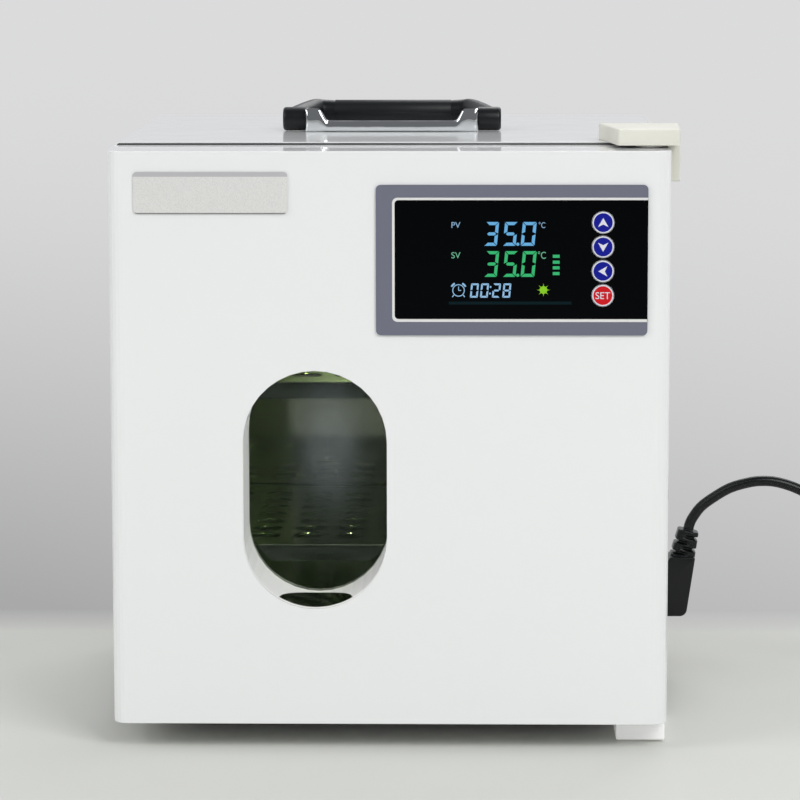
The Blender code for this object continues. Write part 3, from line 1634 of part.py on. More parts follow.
def cord_route():
    """The lead from the strain relief over its arch and down to the coil, in the inlet's plane."""
    head_of = neck_place(NECK_HEAD)
    axis = (head_of - neck_place(NECK_FOOT)).normalized()
    start = head_of + axis * SEAT
    return [start, start + axis * CORD_DIAMETER / 2, *map(neck_place, CORD_LINE)]


def cord():
    line = smooth_line(cord_route(), 2.5 * CORD_DIAMETER)
    return tube("cord", line, CORD_DIAMETER / 2, cord_black(), 2)


def cord_coil():
    """The outer form of the coiled rest of the lead, lying on the floor."""
    half = COIL_COLUMNS * CORD_DIAMETER / 2
    height = COIL_LAYERS * CORD_DIAMETER
    inner, outer = COIL_MEAN_RADIUS - half, COIL_MEAN_RADIUS + half
    edge = CORD_DIAMETER * 0.3
    profile = [
        (inner, height - edge),
        (inner + edge, height),
        (outer - edge, height),
        (outer, height - edge),
        (outer, edge),
        (outer - edge, 0),
        (inner + edge, 0),
        (inner, edge),
        (inner, height - edge),
    ]
    return turned("cord_coil", profile, (COIL_X, COIL_Y, SEAT), (0, 0, 1), cord_black(), 32)


def mains_plug():
    """A flat three-pin plug that lies on the coil."""
    floor = COIL_LAYERS * CORD_DIAMETER + 2 * SEAT
    middle = floor + PLUG_HEIGHT / 2
    y = COIL_Y + PLUG_OFFSET
    rear = COIL_X - PLUG_OFFSET / 5
    nose = rear - PLUG_LENGTH
    half = PLUG_WIDTH / 2
    waist = nose + PLUG_LENGTH * 0.55
    corner = half * 0.23
    outline = filleted(
        [
            (nose, y - half, corner),
            (nose, y + half, corner),
            (waist, y + half, corner * 2),
            (rear, y + half * 0.5, corner),
            (rear, y - half * 0.5, corner),
            (waist, y - half, corner * 2),
        ]
    )
    plug = prism("mains_plug", "z", outline, floor, floor + PLUG_HEIGHT, cord_black())
    rounded(plug, corner * 0.7)
    thick, thin = PLUG_TAIL_RADII
    tail = [(0, PLUG_TAIL), (thin, PLUG_TAIL), (thick, SHEET), (thick, -SHEET), (0, -SHEET)]
    join(plug, turned("plug_tail", tail, (rear, y, middle), (1, 0, 0), None, 12))
    pins = (
        (-PIN_SPREAD, -PIN_LIFT * 0.67, PIN_TILT),
        (PIN_SPREAD, -PIN_LIFT * 0.67, -PIN_TILT),
        (0, PIN_LIFT, 90),
    )
    for offset, lift, tilt in pins:
        near = (-PIN_LENGTH, -PIN_WIDTH / 2, -PIN_THICKNESS / 2)
        pin = box("pin", near, (LIP, PIN_WIDTH / 2, PIN_THICKNESS / 2))
        pin.location = (nose - PIN_LENGTH / 2 + LIP, y + offset, middle + lift)
        pin.rotation_euler = (math.radians(tilt + 90), 0, 0)
        join(plug, pin)
    return plug


def build():
    clear_scene()
    cabinet_shell()
    front_frame()
    base_plate()
    rear_panel()
    deck_plate()
    feet()
    chamber_liner()
    insulation_block()
    heater_mat()
    temperature_probe()
    chamber_lamp()
    shelf_rack("shelf_rack_left", -1)
    shelf_rack("shelf_rack_right", 1)
    shelf("shelf_lower", LOWER_SHELF_LEVEL)
    shelf("shelf_upper", UPPER_SHELF_LEVEL)
    power_board()
    inlet_module()
    fuse_drawer()
    rocker_switch()
    upper_hinge()
    lower_hinge()
    connector()
    cord()
    cord_coil()
    mains_plug()

    before = set(bpy.data.objects)
    handle_base()
    handle_pin("handle_pin_left", -1)
    handle_pin("handle_pin_right", 1)
    folding = (handle_bail(), handle_grip())
    for made in set(bpy.data.objects) - before:
        made.location.x -= HANDLE_SHIFT
    carry(pivot("handle_pivot", (-HANDLE_SHIFT, HANDLE_Y, HANDLE_Z)), *folding)

    before = set(parts.objects)
    door_skin()
    door_inner_panel()
    door_insulation()
    window_spacer()
    window_panes()
    door_gasket()
    control_fascia()
    display_lens()
    lcd_module()
    control_board()
    badge_plate()
    hinge_bush("upper_hinge_bush", DOOR_TOP, 1)
    hinge_bush("lower_hinge_bush", BOTTOM, -1)
    keys()
    door_pieces = set(parts.objects) - before
    door = pivot("door_pivot", (HINGE_X, HINGE_Y, 0))
    carry(door, *door_pieces)

    key_face = -2 * SEAT - KEY_CAP
    cover_reach = COVER_OVERHANG + COVER_FLARE
    origin = pivot("incubator_origin", (-cover_reach / 2, -(key_face + BACK) / 2, 0))
    for made in bpy.data.objects:
        if made.parent is None and made is not origin:
            made.parent = origin


build()
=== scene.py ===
import math

import bmesh
import bpy
import numpy as np
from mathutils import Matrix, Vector


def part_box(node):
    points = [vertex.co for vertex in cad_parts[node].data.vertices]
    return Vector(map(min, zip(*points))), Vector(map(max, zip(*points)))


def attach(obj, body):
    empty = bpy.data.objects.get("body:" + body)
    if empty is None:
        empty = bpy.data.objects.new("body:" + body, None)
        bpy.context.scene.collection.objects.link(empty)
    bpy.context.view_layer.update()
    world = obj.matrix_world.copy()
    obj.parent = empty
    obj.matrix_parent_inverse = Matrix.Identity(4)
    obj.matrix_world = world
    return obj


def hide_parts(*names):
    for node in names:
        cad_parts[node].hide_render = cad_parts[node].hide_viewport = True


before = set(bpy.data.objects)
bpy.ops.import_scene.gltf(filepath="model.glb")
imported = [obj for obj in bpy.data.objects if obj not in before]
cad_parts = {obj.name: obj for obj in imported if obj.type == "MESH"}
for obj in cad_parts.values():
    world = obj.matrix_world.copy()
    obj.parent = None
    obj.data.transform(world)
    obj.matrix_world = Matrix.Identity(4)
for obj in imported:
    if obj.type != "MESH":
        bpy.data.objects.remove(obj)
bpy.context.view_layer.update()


# ---- Studio ----
# The camera stands two metres in front of the door, a little to its right and a third higher than
# the cabinet, and looks down on it. Its place was found from the vanishing point of the depth edges.

CAMERA_PLACE = (0.0430, -2.0182, 0.4500)
CAMERA_TURN = (82.11, 0.1, 1.217)
LENS = 158.9

lens = bpy.data.cameras.new("camera")
lens.lens = LENS
lens.sensor_width = 36
camera = bpy.data.objects.new("camera", lens)
camera.location = CAMERA_PLACE
camera.rotation_euler = [math.radians(turn) for turn in CAMERA_TURN]
bpy.context.collection.objects.link(camera)
bpy.context.scene.camera = camera
bpy.context.scene.view_settings.view_transform = "Standard"


def shade(red, green, blue):
    """A colour given as display values from 0 to 255, turned into the linear values of a shader."""
    values = np.array((red, green, blue)) / 255
    linear = np.where(values <= 0.04045, values / 12.92, ((values + 0.055) / 1.055) ** 2.4)
    return (*linear.tolist(), 1.0)


def operator(operation, reflected=False):
    """A method for an operator: it adds one Math node to the tree."""

    def apply(self, other):
        return self.math(operation, *((other, self) if reflected else (self, other)))

    return apply


class Wire:
    """A shader socket in an expression: arithmetic on it adds the Math nodes to its tree."""

    def __init__(self, tree, socket):
        self.tree = tree
        self.socket = socket

    def math(self, operation, *values):
        return self.tree.node("ShaderNodeMath", {"operation": operation}, values)

    def exp(self):
        return self.math("EXPONENT", self)

    __add__ = __radd__ = operator("ADD")
    __mul__ = __rmul__ = operator("MULTIPLY")
    __sub__ = operator("SUBTRACT")
    __rsub__ = operator("SUBTRACT", True)
    __truediv__ = operator("DIVIDE")
    __rtruediv__ = operator("DIVIDE", True)
    __lt__ = operator("LESS_THAN")
    __gt__ = operator("GREATER_THAN")


class Tree:
    """The nodes of a material or of the world."""

    def __init__(self, owner):
        owner.use_nodes = True
        self.nodes, self.links = owner.node_tree.nodes, owner.node_tree.links

    def feed(self, socket, value):
        if isinstance(value, Wire):
            self.links.new(value.socket, socket)
        else:
            socket.default_value = value

    def node(self, kind, settings=None, values=(), output=0):
        """Any node: its settings first, then the values or links of its sockets, by order or name."""
        made = self.nodes.new(kind)
        for setting, value in (settings or {}).items():
            if setting == "stops":
                for stop, (place, tone) in zip(made.color_ramp.elements, value):
                    stop.position = place
                    stop.color = tone if isinstance(tone, tuple) else (tone, tone, tone, 1)
            else:
                setattr(made, setting, value)
        named = values.items() if isinstance(values, dict) else enumerate(values)
        for socket, value in named:
            self.feed(made.inputs[socket], value)
        return Wire(self, made.outputs[output])

    def ramp(self, value, *stops):
        return self.node("ShaderNodeValToRGB", {"stops": stops}, (value,))


class Finish(Tree):
    """One finish of the object: a Principled shader, its constants and what varies over it."""

    def __init__(self, name, colour, roughness, metallic=0.0, **constants):
        self.material = bpy.data.materials.new(name)
        super().__init__(self.material)
        self.inputs = self.nodes["Principled BSDF"].inputs
        self.colour = shade(*colour)
        constants |= {"Base Color": self.colour, "Roughness": roughness, "Metallic": metallic}
        for socket, value in constants.items():
            self.inputs[socket.replace("_", " ")].default_value = value

    def place(self):
        """Object coordinates, in metres."""
        return self.node("ShaderNodeTexCoord", output="Object")

    def along(self, axis):
        """One of the Object coordinates: X, Y or Z."""
        return self.node("ShaderNodeSeparateXYZ", {}, (self.place(),), axis)

    def stretched(self, scale):
        """Object coordinates scaled by a number for each axis."""
        return self.node("ShaderNodeMapping", {}, {"Vector": self.place(), "Scale": scale})

    def noise(self, scale, detail, place=None):
        values = {"Vector": place or self.place(), "Scale": scale, "Detail": detail}
        return self.node("ShaderNodeTexNoise", {}, values)

    def mix(self, factor, first, second):
        settings = {"data_type": "RGBA", "clamp_factor": True}
        return self.node("ShaderNodeMix", settings, {0: factor, 6: first, 7: second}, 2)

    def vary(self, socket, value):
        self.feed(self.inputs[socket], value)

    def tint(self, factor, colour):
        """Lays another colour over the base by a factor from 0 to 1."""
        base = self.inputs["Base Color"]
        below = Wire(self, base.links[0].from_socket) if base.is_linked else self.colour
        self.vary("Base Color", self.mix(factor, below, shade(*colour)))

    def mottle(self, scale, detail, share, colour):
        """Lays a colour over the base by a noise times a share."""
        self.tint(self.noise(scale, detail) * share, colour)

    def patch(self, scale, detail, start, end, share, colour):
        """Lays a colour over the base by nothing where a noise is under start, by a share past end."""
        self.tint(self.ramp(self.noise(scale, detail), (start, 0), (end, share)), colour)

    def dull(self, scale, detail, spread, least):
        """Lets the roughness run from its least value over a spread by a noise."""
        self.vary("Roughness", self.noise(scale, detail) * spread + least)

    def bump(self, height, distance, strength):
        """Relief whose height runs from 0 to 1 over a distance in metres."""
        values = {"Strength": strength, "Distance": distance, "Height": height}
        self.vary("Normal", self.node("ShaderNodeBump", {}, values))

    def pebble(self, scale, detail, distance, strength):
        """Relief by a noise."""
        self.bump(self.noise(scale, detail), distance, strength)

    def shine(self, scale, detail, first, second):
        """Lets the glow run from one colour to another by a noise."""
        self.vary("Emission Color", self.mix(self.noise(scale, detail), first, second))

    def dress(self, *names):
        """Gives the finish to CAD nodes by their names, or to new pieces."""
        for name in names:
            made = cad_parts[name] if isinstance(name, str) else name
            made.data.materials.clear()
            made.data.materials.append(self.material)


# A pale bench runs back into a wide grey sweep, whose tone is a glow of its own. That glow is painted
# shade: darker near the bench and to the left, paler far back and to the right.

BENCH_TONE = (212, 213, 208)
SWEEP_TONES = ((169, 169, 170), (219, 219, 220))
SWEEP_START, SWEEP_END = 0.165, 0.235
SWEEP_FADE = 1.3
SWEEP_SIDE_SHADE = 0.9
FLOOR_HALF = 60.0

bench = Finish("bench", BENCH_TONE, 0.6, Emission_Strength=1.0, Specular_IOR_Level=0.0)
across, depth = bench.along("X"), bench.along("Y")
far = bench.ramp((depth - SWEEP_START) / (SWEEP_END - SWEEP_START), (0, 0), (1, 1))
# Painted shade on the sweep: its glow darkens towards the bench and to the left.
height = 1 - (depth / -SWEEP_FADE).exp() * (1 - across * SWEEP_SIDE_SHADE)
sweep = bench.mix(height, *(shade(*tone) for tone in SWEEP_TONES))
bench.tint(far, (0, 0, 0))
bench.vary("Emission Color", bench.mix(far, (0, 0, 0, 1), sweep))
bench.pebble(400, 3, 0.0002, 0.1)
corners = FLOOR_HALF * np.array([(-1, -1, 0), (1, -1, 0), (1, 1, 0), (-1, 1, 0)])
floor_mesh = bpy.data.meshes.new("floor")
floor_mesh.from_pydata(corners, [], [(0, 1, 2, 3)])
floor = bpy.data.objects.new("floor", floor_mesh)
bpy.context.collection.objects.link(floor)
bench.dress(floor)

# The lamps and the sky together are about as bright as an even white sky, so that a colour renders
# about as it is written. Gloss mirrors a dark room in front and pale walls behind.

SKY_TONE = (235, 236, 238)
ROOM_TONE = (112, 113, 115)
WALL_TONE = (206, 207, 209)
WALL_START = 0.35
SKY_LIGHT = 0.68
LAMPS = (
    ("window_lamp", (1.3, -1.9, 1.9), (1.4, 1.4), 34),
    ("fill_lamp", (-1.9, -0.9, 1.3), (1.3, 1.3), 15),
    ("rear_lamp", (0.5, 1.8, 1.9), (1.4, 1.0), 14),
)
TARGET = Vector((0, 0, 0.16))

world = bpy.data.worlds.new("sky")
bpy.context.scene.world = world
air = Tree(world)
behind = air.node("ShaderNodeSeparateXYZ", {}, (air.node("ShaderNodeTexCoord", output="Generated"),), "Y")
mirrored = air.ramp(behind, (0.0, shade(*ROOM_TONE)), (WALL_START, shade(*WALL_TONE)))
air.nodes["Background"].inputs["Color"].default_value = shade(*SKY_TONE)
air.nodes["Background"].inputs["Strength"].default_value = SKY_LIGHT
sky = Wire(air, air.nodes["Background"].outputs[0])
room = air.node("ShaderNodeBackground", {}, {"Color": mirrored})
plain = air.node("ShaderNodeBackground", {}, {"Color": shade(*SWEEP_TONES[1])})
for ray, other in (("Is Glossy Ray", room), ("Is Camera Ray", plain)):
    chosen = air.node("ShaderNodeLightPath", output=ray)
    sky = air.node("ShaderNodeMixShader", {}, (chosen, sky, other))
air.feed(air.nodes["World Output"].inputs["Surface"], sky)


def area_lamp(name, place, size, power):
    """A rectangular lamp that shines down from its place."""
    light = bpy.data.lights.new(name, "AREA")
    light.shape = "RECTANGLE"
    light.size, light.size_y = size
    light.energy = power
    lamp = bpy.data.objects.new(name, light)
    lamp.location = place
    bpy.context.collection.objects.link(lamp)
    return lamp


for name, place, size, power in LAMPS:
    lamp = area_lamp(name, place, size, power)
    lamp.rotation_euler = (TARGET - Vector(place)).to_track_quat("-Z", "Y").to_euler()


# ---- Cabinet housing ----
# A wrap of enamelled steel sheet over a zinc-plated tray, closed at the back by a vented panel and at
# the front by a white moulded frame. Foam fills it round the chamber.

enamel = Finish("enamel", (238, 239, 239), 0.22, Coat_Weight=0.6, Coat_Roughness=0.04)
enamel.mottle(3, 2, 0.3, (233, 235, 235))
enamel.dull(60, 3, 0.06, 0.18)
enamel.pebble(700, 2, 0.00002, 0.2)
enamel.dress("cabinet_shell", "rear_panel", "door_skin")

moulded = Finish("white_plastic", (233, 233, 230), 0.42)
moulded.patch(12, 3, 0.4, 0.9, 0.4, (222, 222, 218))
moulded.dull(140, 2, 0.12, 0.36)
moulded.pebble(2600, 2, 0.00004, 0.5)
moulded.dress("front_frame", "door_inner_panel", "upper_hinge_bush", "lower_hinge_bush")

plated = Finish("zinc_plate", (176, 178, 182), 0.34, 1.0)
spangle = plated.node("ShaderNodeTexVoronoi", {}, {"Vector": plated.place(), "Scale": 160.0})
plated.tint(spangle * 0.5, (150, 153, 160))
plated.dull(90, 3, 0.2, 0.26)
plated.pebble(700, 2, 0.00003, 0.3)
plated.dress("base_plate", "deck_plate", "handle_pin_left", "handle_pin_right")
plated.dress("upper_hinge_bracket", "lower_hinge_bracket", "upper_hinge_pin", "lower_hinge_pin")

foam = Finish("foam", (225, 206, 152), 0.9)
foam.patch(300, 3, 0.4, 0.7, 0.6, (205, 182, 122))
foam.pebble(900, 3, 0.0003, 0.6)
foam.dress("insulation_block", "door_insulation")


def grid(points, close_rows=False, close_columns=False):
    """The corner points and four-sided faces of a grid of points (rows, columns, 3)."""
    rows, columns = points.shape[:2]
    number = np.arange(rows * columns).reshape(rows, columns)
    if close_rows:
        number = np.vstack((number, number[:1]))
    if close_columns:
        number = np.hstack((number, number[:, :1]))
    faces = np.stack((number[:-1, :-1], number[:-1, 1:], number[1:, 1:], number[1:, :-1]), -1)
    return points.reshape(-1, 3), faces.reshape(-1, 4).tolist()


def merged(*shells):
    """Several shells of points and faces as one."""
    points, faces, count = [], [], 0
    for shell_points, shell_faces in shells:
        points.append(shell_points)
        faces += [[count + corner for corner in face] for face in shell_faces]
        count += len(shell_points)
    return np.vstack(points), faces


def piece(name, shell, finish, body, replaces=(), angle=35, outward=True):
    """A new piece from a shell: welded, smoothed below an edge angle, dressed and set on its body."""
    points, faces = shell
    mesh = bpy.data.meshes.new(name)
    mesh.from_pydata(points, [], faces)
    work = bmesh.new()
    work.from_mesh(mesh)
    bmesh.ops.remove_doubles(work, verts=work.verts, dist=1e-7)
    bmesh.ops.dissolve_degenerate(work, edges=work.edges, dist=1e-8)
    if outward:
        bmesh.ops.recalc_face_normals(work, faces=work.faces)
    work.to_mesh(mesh)
    work.free()
    mesh.shade_smooth()
    mesh.set_sharp_from_angle(angle=math.radians(angle))
    made = bpy.data.objects.new(name, mesh)
    bpy.context.collection.objects.link(made)
    finish.dress(made)
    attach(made, body)
    if replaces:
        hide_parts(*replaces)
    return made


def directions(steps):
    """The cosines and the sines of directions that divide a turn evenly."""
    turn = np.linspace(0, 2 * np.pi, steps, endpoint=False)
    return np.cos(turn), np.sin(turn)


def axes(direction):
    """A direction of length 1 and two more across it, all square to each other."""
    up = np.array(Vector(direction).normalized())
    side = np.array(Vector(up).orthogonal().normalized())
    return up, side, np.cross(up, side)


def filleted(corners, steps=6):
    """A closed outline of corners (u, v, radius): each becomes an arc that touches both its sides."""
    outline = []
    for k, (u, v, radius) in enumerate(corners):
        here = np.array((u, v))
        before = np.array(corners[k - 1][:2]) - here
        after = np.array(corners[(k + 1) % len(corners)][:2]) - here
        before, after = before / np.hypot(*before), after / np.hypot(*after)
        half = np.arccos(np.clip(before @ after, -1, 1)) / 2
        middle = (before + after) / np.hypot(*(before + after))
        centre = here + middle * radius / np.sin(half)
        spread = np.linspace(0, 1, steps + 1)[:, None]
        start, end = here + before * radius / np.tan(half), here + after * radius / np.tan(half)
        arc = (start - centre) * (1 - spread) + (end - centre) * spread
        length = np.maximum(np.hypot(*arc.T)[:, None], 1e-12)
        outline.append(centre + arc / length * radius if radius else here[None])
    return np.vstack(outline)


def oblong(u0, u1, v0, v1, radius=0.0, steps=6):
    """The outline of a rectangle, with its corners rounded to a radius."""
    return filleted([(u0, v0, radius), (u1, v0, radius), (u1, v1, radius), (u0, v1, radius)], steps)


def band(low, high, profile, corner, tighten, steps):
    """A closed moulding round a box's front: at each (inset, y) of its profile a rectangle, whose
    corner radius is the corner - inset x tighten."""
    loops = []
    for inset, y in profile:
        left, right, foot, head = low.x + inset, high.x - inset, low.z + inset, high.z - inset
        loop = oblong(left, right, foot, head, corner - inset * tighten, steps)
        loops.append(np.stack((loop[:, 0], np.full(len(loop), y), loop[:, 1]), -1))
    return grid(np.stack(loops), close_rows=True, close_columns=True)


# Pan-head screws with a cross recess hold the rear panel to the shell's flange and the tray.

SCREW_RADIUS = 0.0031
SCREW_HEIGHT = 0.0016
SCREW_STEPS = 48
DOME_REACH = 0.93
CROSS_HALF, CROSS_REACH, CROSS_DEPTH = 0.15, 0.62, 0.55
REAR_SCREW_HEIGHT = 0.0009
REAR_MARGIN = 0.009
REAR_FOOT_MARGIN = 0.0065

steel = Finish("screw_steel", (182, 184, 187), 0.3, 1.0)
steel.dull(400, 2, 0.25, 0.2)
steel.pebble(1500, 2, 0.00002, 0.3)


def screw_head(place, direction, height=SCREW_HEIGHT):
    """A domed head with a cross recess: the dome's height falls to the recess where the point lies
    within a slot's half width of either axis and inside the cross's reach."""
    radii = np.concatenate((np.linspace(0, 0.94, 15), (1.0, 1.0)))[:, None]
    cos, sin = directions(SCREW_STEPS)
    u, v = radii * cos, radii * sin
    dome = height * np.sqrt(np.clip(1 - (radii * DOME_REACH) ** 2, 0, 1))
    slot = np.minimum(np.abs(u), np.abs(v))
    reach = np.maximum(np.abs(u), np.abs(v))
    sunk = np.clip((CROSS_HALF - slot) / 0.05, 0, 1) * np.clip((CROSS_REACH - reach) / 0.08, 0, 1)
    rise = dome - sunk * height * CROSS_DEPTH
    rise[-1] = -0.0001
    up, side, other = axes(direction)
    flat = u[..., None] * side + v[..., None] * other
    return grid(np.array(place) + rise[..., None] * up + SCREW_RADIUS * flat, close_columns=True)


low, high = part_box("rear_panel")
middle = (low + high) / 2
left, right = low.x + REAR_MARGIN, high.x - REAR_MARGIN
places = [(x, z) for x in (left, middle.x, right) for z in (low.z + REAR_FOOT_MARGIN, high.z - REAR_MARGIN)]
places += [(left, middle.z), (right, middle.z)]
rear_screws = [screw_head((x, high.y, z), (0, 1, 0), REAR_SCREW_HEIGHT) for x, z in places]
piece("rear_screws", merged(*rear_screws), steel, "cabinet", outward=False)

# A narrow dark strip runs round the wrap's front edge, where the door closes on it: painted shadow of the
# gap between the door and the cabinet.

GAP_SHADOW_WIDTH = 0.0013
GAP_SHADOW_INSET = 0.0006
GAP_SHADOW_THICKNESS = 0.0003
GAP_SHADOW_CORNER = 0.002

# Painted shadow: the strip's dark tone stands for the shade inside the gap between door and cabinet.
gap_shadow = Finish("gap_shadow_paint", (66, 68, 70), 0.16, Coat_Weight=0.5, Coat_Roughness=0.05)
gap_shadow.patch(14, 2, 0.4, 0.65, 0.8, (112, 114, 116))
low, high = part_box("cabinet_shell")
insets = (GAP_SHADOW_INSET, GAP_SHADOW_INSET, GAP_SHADOW_INSET + GAP_SHADOW_WIDTH, GAP_SHADOW_INSET + GAP_SHADOW_WIDTH)
depths = (low.y, low.y - GAP_SHADOW_THICKNESS, low.y - GAP_SHADOW_THICKNESS, low.y)
gap_shadow_shell = band(low, high, zip(insets, depths), GAP_SHADOW_CORNER, 0.5, 6)
piece("flange_gap_shadow", gap_shadow_shell, gap_shadow, "cabinet")


# ---- Feet ----
# Four turned feet of black rubber, each held by a screw in its recess. Their lower edge is rounded
# by wear and the rubber is dull with fine dust.

FOOT_PROFILE = (
    (0, 1),
    (1, 1),
    (1, 0.9),
    (0.985, 0.75),
    (0.93, 0.16),
    (0.90, 0.05),
    (0.82, 0),
    (0.4428, 0),
    (0.41, 0.03),
    (0.41, 0.28),
    (0, 0.28),
)
SCREW_LEVEL = 0.27


def turned(profile, foot, direction, steps=40):
    """A profile of (radius, height) turned about a line: foot + direction x height + radius x circle."""
    radius, height = np.array(profile, float).T[..., None, None]
    up, side, other = axes(direction)
    cos, sin = directions(steps)
    circle = cos[:, None] * side + sin[:, None] * other
    return grid((np.array(foot) + height * up + radius * circle)[::-1], close_columns=True)


rubber = Finish("foot_rubber", (34, 34, 35), 0.82)
rubber.patch(220, 4, 0.45, 0.8, 0.5, (62, 61, 60))
rubber.pebble(1800, 2, 0.00008, 0.6)
for name in ("foot_front_left", "foot_front_right", "foot_rear_left", "foot_rear_right"):
    low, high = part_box(name)
    x, y, _ = (low + high) / 2
    profile = np.array(FOOT_PROFILE) * ((high.x - low.x) / 2, high.z)
    foot = turned(profile, (x, y, 0), (0, 0, 1))
    piece(name + "_turned", foot, rubber, "cabinet", [name], outward=False)
    head = screw_head((x, y, high.z * SCREW_LEVEL), (0, 0, -1))
    piece(name + "_screw", head, steel, "cabinet", outward=False)


# ---- Chamber ----
# A box of bright stainless sheet with a pressed ladder of ledges on each side. Its finish is finely
# brushed from front to back.

bright = Finish("stainless", (192, 198, 178), 0.2, 1.0)
grain = bright.noise(260, 3, bright.stretched((5, 0.25, 5)))
bright.tint(bright.ramp(grain, (0.3, 0), (0.75, 0.35)), (168, 178, 146))
bright.vary("Roughness", grain * 0.08 + 0.05)
bright.bump(grain, 0.00001, 0.15)
bright.dress("chamber_liner", "shelf_rack_left", "shelf_rack_right")

# The shelves are punched with rows of round holes, softly drawn in at their edges, and end at the
# front in a folded lip.

SHELF_HOLE = 0.0165
SHELF_PITCH = 0.024
SHELF_SHEET = 0.001
HOLE_STEPS = 48
LIP_INSET = 0.007
LIP_EDGE = 0.0004
LIP_GAP = 0.0002
HEM_RADIUS = 0.0005

# The folded lip is a much darker copy of the shelf's stainless: painted shade.
shaded_lip_steel = Finish("shaded_lip_steel", (104, 110, 106), 0.22, 1.0)
shaded_lip_steel.tint(shaded_lip_steel.noise(140, 3, shaded_lip_steel.stretched((0.3, 5, 5))) * 0.4, (84, 90, 86))
shaded_lip_steel.dull(60, 3, 0.1, 0.16)
shaded_lip_steel.pebble(900, 2, 0.00001, 0.2)


def layered(outline, drawn, levels, axis):
    """Rings across an axis: each is the outline drawn in along its normals and set at a level. Both
    ends close on the outline's middle."""
    along = np.roll(outline, -1, 0) - np.roll(outline, 1, 0)
    along = along / np.maximum(np.hypot(*along.T)[:, None], 1e-12)
    normal = np.stack((along[:, 1], -along[:, 0]), -1)
    rings = outline - drawn[:, None, None] * normal
    middle = np.broadcast_to(outline.mean(0), rings[:1].shape)
    u, v = np.moveaxis(np.concatenate((middle, rings, middle)), -1, 0)
    level = np.concatenate((levels[:1], levels, levels[-1:]))[:, None] * np.ones(len(outline))
    order = {"x": (level, u, v), "y": (u, level, v), "z": (u, v, level)}
    return grid(np.stack(order[axis], -1), close_columns=True)


def slab(outline, low, high, edge, axis, steps=4):
    """A plate on an outline with rounded edges: at depth d from a face, its ring is drawn in by
    edge - sqrt(edge squared - (edge - d) squared)."""
    turn = np.linspace(0, np.pi / 2, steps + 1)
    drawn, depth = edge * (1 - np.sin(turn)), edge * (1 - np.cos(turn))
    levels = np.concatenate((low + depth, high - depth[::-1]))
    return layered(outline, np.concatenate((drawn, drawn[::-1])), levels, axis)


def capped(rings, start, end):
    """A tube of rings, closed at both ends by a point."""
    first, last = (np.broadcast_to(point, rings[:1].shape) for point in (start, end))
    return grid(np.concatenate((first, rings, last)), close_columns=True)


def swept(line, radius, steps=16):
    """A round section drawn along a line: line + radius x (cos, sin) across the tangent. The side of
    the section is the tangent crossed with the upright."""
    line = np.array(line, float)
    tangent = np.gradient(line, axis=0)
    tangent /= np.linalg.norm(tangent, axis=1)[:, None]
    side = np.cross(tangent, (0, 0, 1))
    side /= np.linalg.norm(side, axis=1)[:, None]
    other = np.cross(side, tangent)
    cos, sin = (part[:, None] for part in directions(steps))
    ring = cos * side[:, None] + sin * other[:, None]
    radius = np.broadcast_to(radius, len(line))[:, None, None]
    return capped(line[:, None] + radius * ring, line[0], line[-1])


def punched(low, high, columns, rows):
    """A sheet with a field of round holes. In each square cell the surface runs over 48 directions:
    from the cell's edge, half pitch / max(|cos|, |sin|), to the hole's rim, down its wall and back."""
    cos, sin = directions(HOLE_STEPS)
    reach = SHELF_PITCH / 2 / np.maximum(np.abs(cos), np.abs(sin))
    bore = SHELF_HOLE / 2
    soft = SHELF_SHEET * 0.3
    walls = (np.full(HOLE_STEPS, radius) for radius in (bore + soft, bore, bore, bore + soft))
    radii = np.stack((reach, *walls, reach))
    levels = np.array((low.z, low.z, low.z + soft, high.z - soft, high.z, high.z))
    cell = np.stack((radii * cos, radii * sin, levels[:, None] * np.ones(HOLE_STEPS)), -1)
    middle = (low + high) / 2
    cells = []
    for k in range(columns):
        for n in range(rows):
            x = middle.x + (k - (columns - 1) / 2) * SHELF_PITCH
            y = middle.y + (n - (rows - 1) / 2) * SHELF_PITCH
            cells.append(grid(cell + np.array((x, y, 0)), close_columns=True))
    half = np.array((columns, rows)) * SHELF_PITCH / 2
    inner = oblong(middle.x - half[0], middle.x + half[0], middle.y - half[1], middle.y + half[1])
    outer = oblong(low.x, high.x, low.y, high.y)
    loops = ((inner, low.z), (outer, low.z), (outer, high.z), (inner, high.z))
    rim = np.stack([np.c_[loop, np.full(len(loop), z)] for loop, z in loops])
    return merged(*cells, grid(rim, close_columns=True))


for name in ("shelf_lower", "shelf_upper"):
    low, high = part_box(name)
    columns = round((high.x - low.x - 2 * LIP_INSET) / SHELF_PITCH)
    rows = round((high.y - low.y) / SHELF_PITCH) - 1
    plate = punched(Vector((low.x, low.y, high.z - SHELF_SHEET)), high, columns, rows)
    left, right = low.x + LIP_INSET, high.x - LIP_INSET
    fold = oblong(left, right, low.z, high.z - LIP_GAP)
    fold = slab(fold, low.y, low.y + SHELF_SHEET, LIP_EDGE, "y")
    piece(name + "_punched", plate, bright, "cabinet", [name])
    piece(name + "_lip", fold, shaded_lip_steel, "cabinet")
    hems = []
    for z in (low.z + HEM_RADIUS, high.z - HEM_RADIUS):
        hem_line = [(x, low.y + HEM_RADIUS, z) for x in (left, (left + right) / 2, right)]
        hems.append(swept(hem_line, HEM_RADIUS, 12))
    piece(name + "_hems", merged(*hems), steel, "cabinet", angle=60)

# The probe is a closed steel tube with a collar against the rear wall.

PROBE_RADIUS = 0.0025
PROBE_COLLAR = 0.006
COLLAR_AT = 0.0350
COLLAR_FRONT, COLLAR_REAR = 0.0006, -0.0002
COLLAR_SOFT = 0.0003

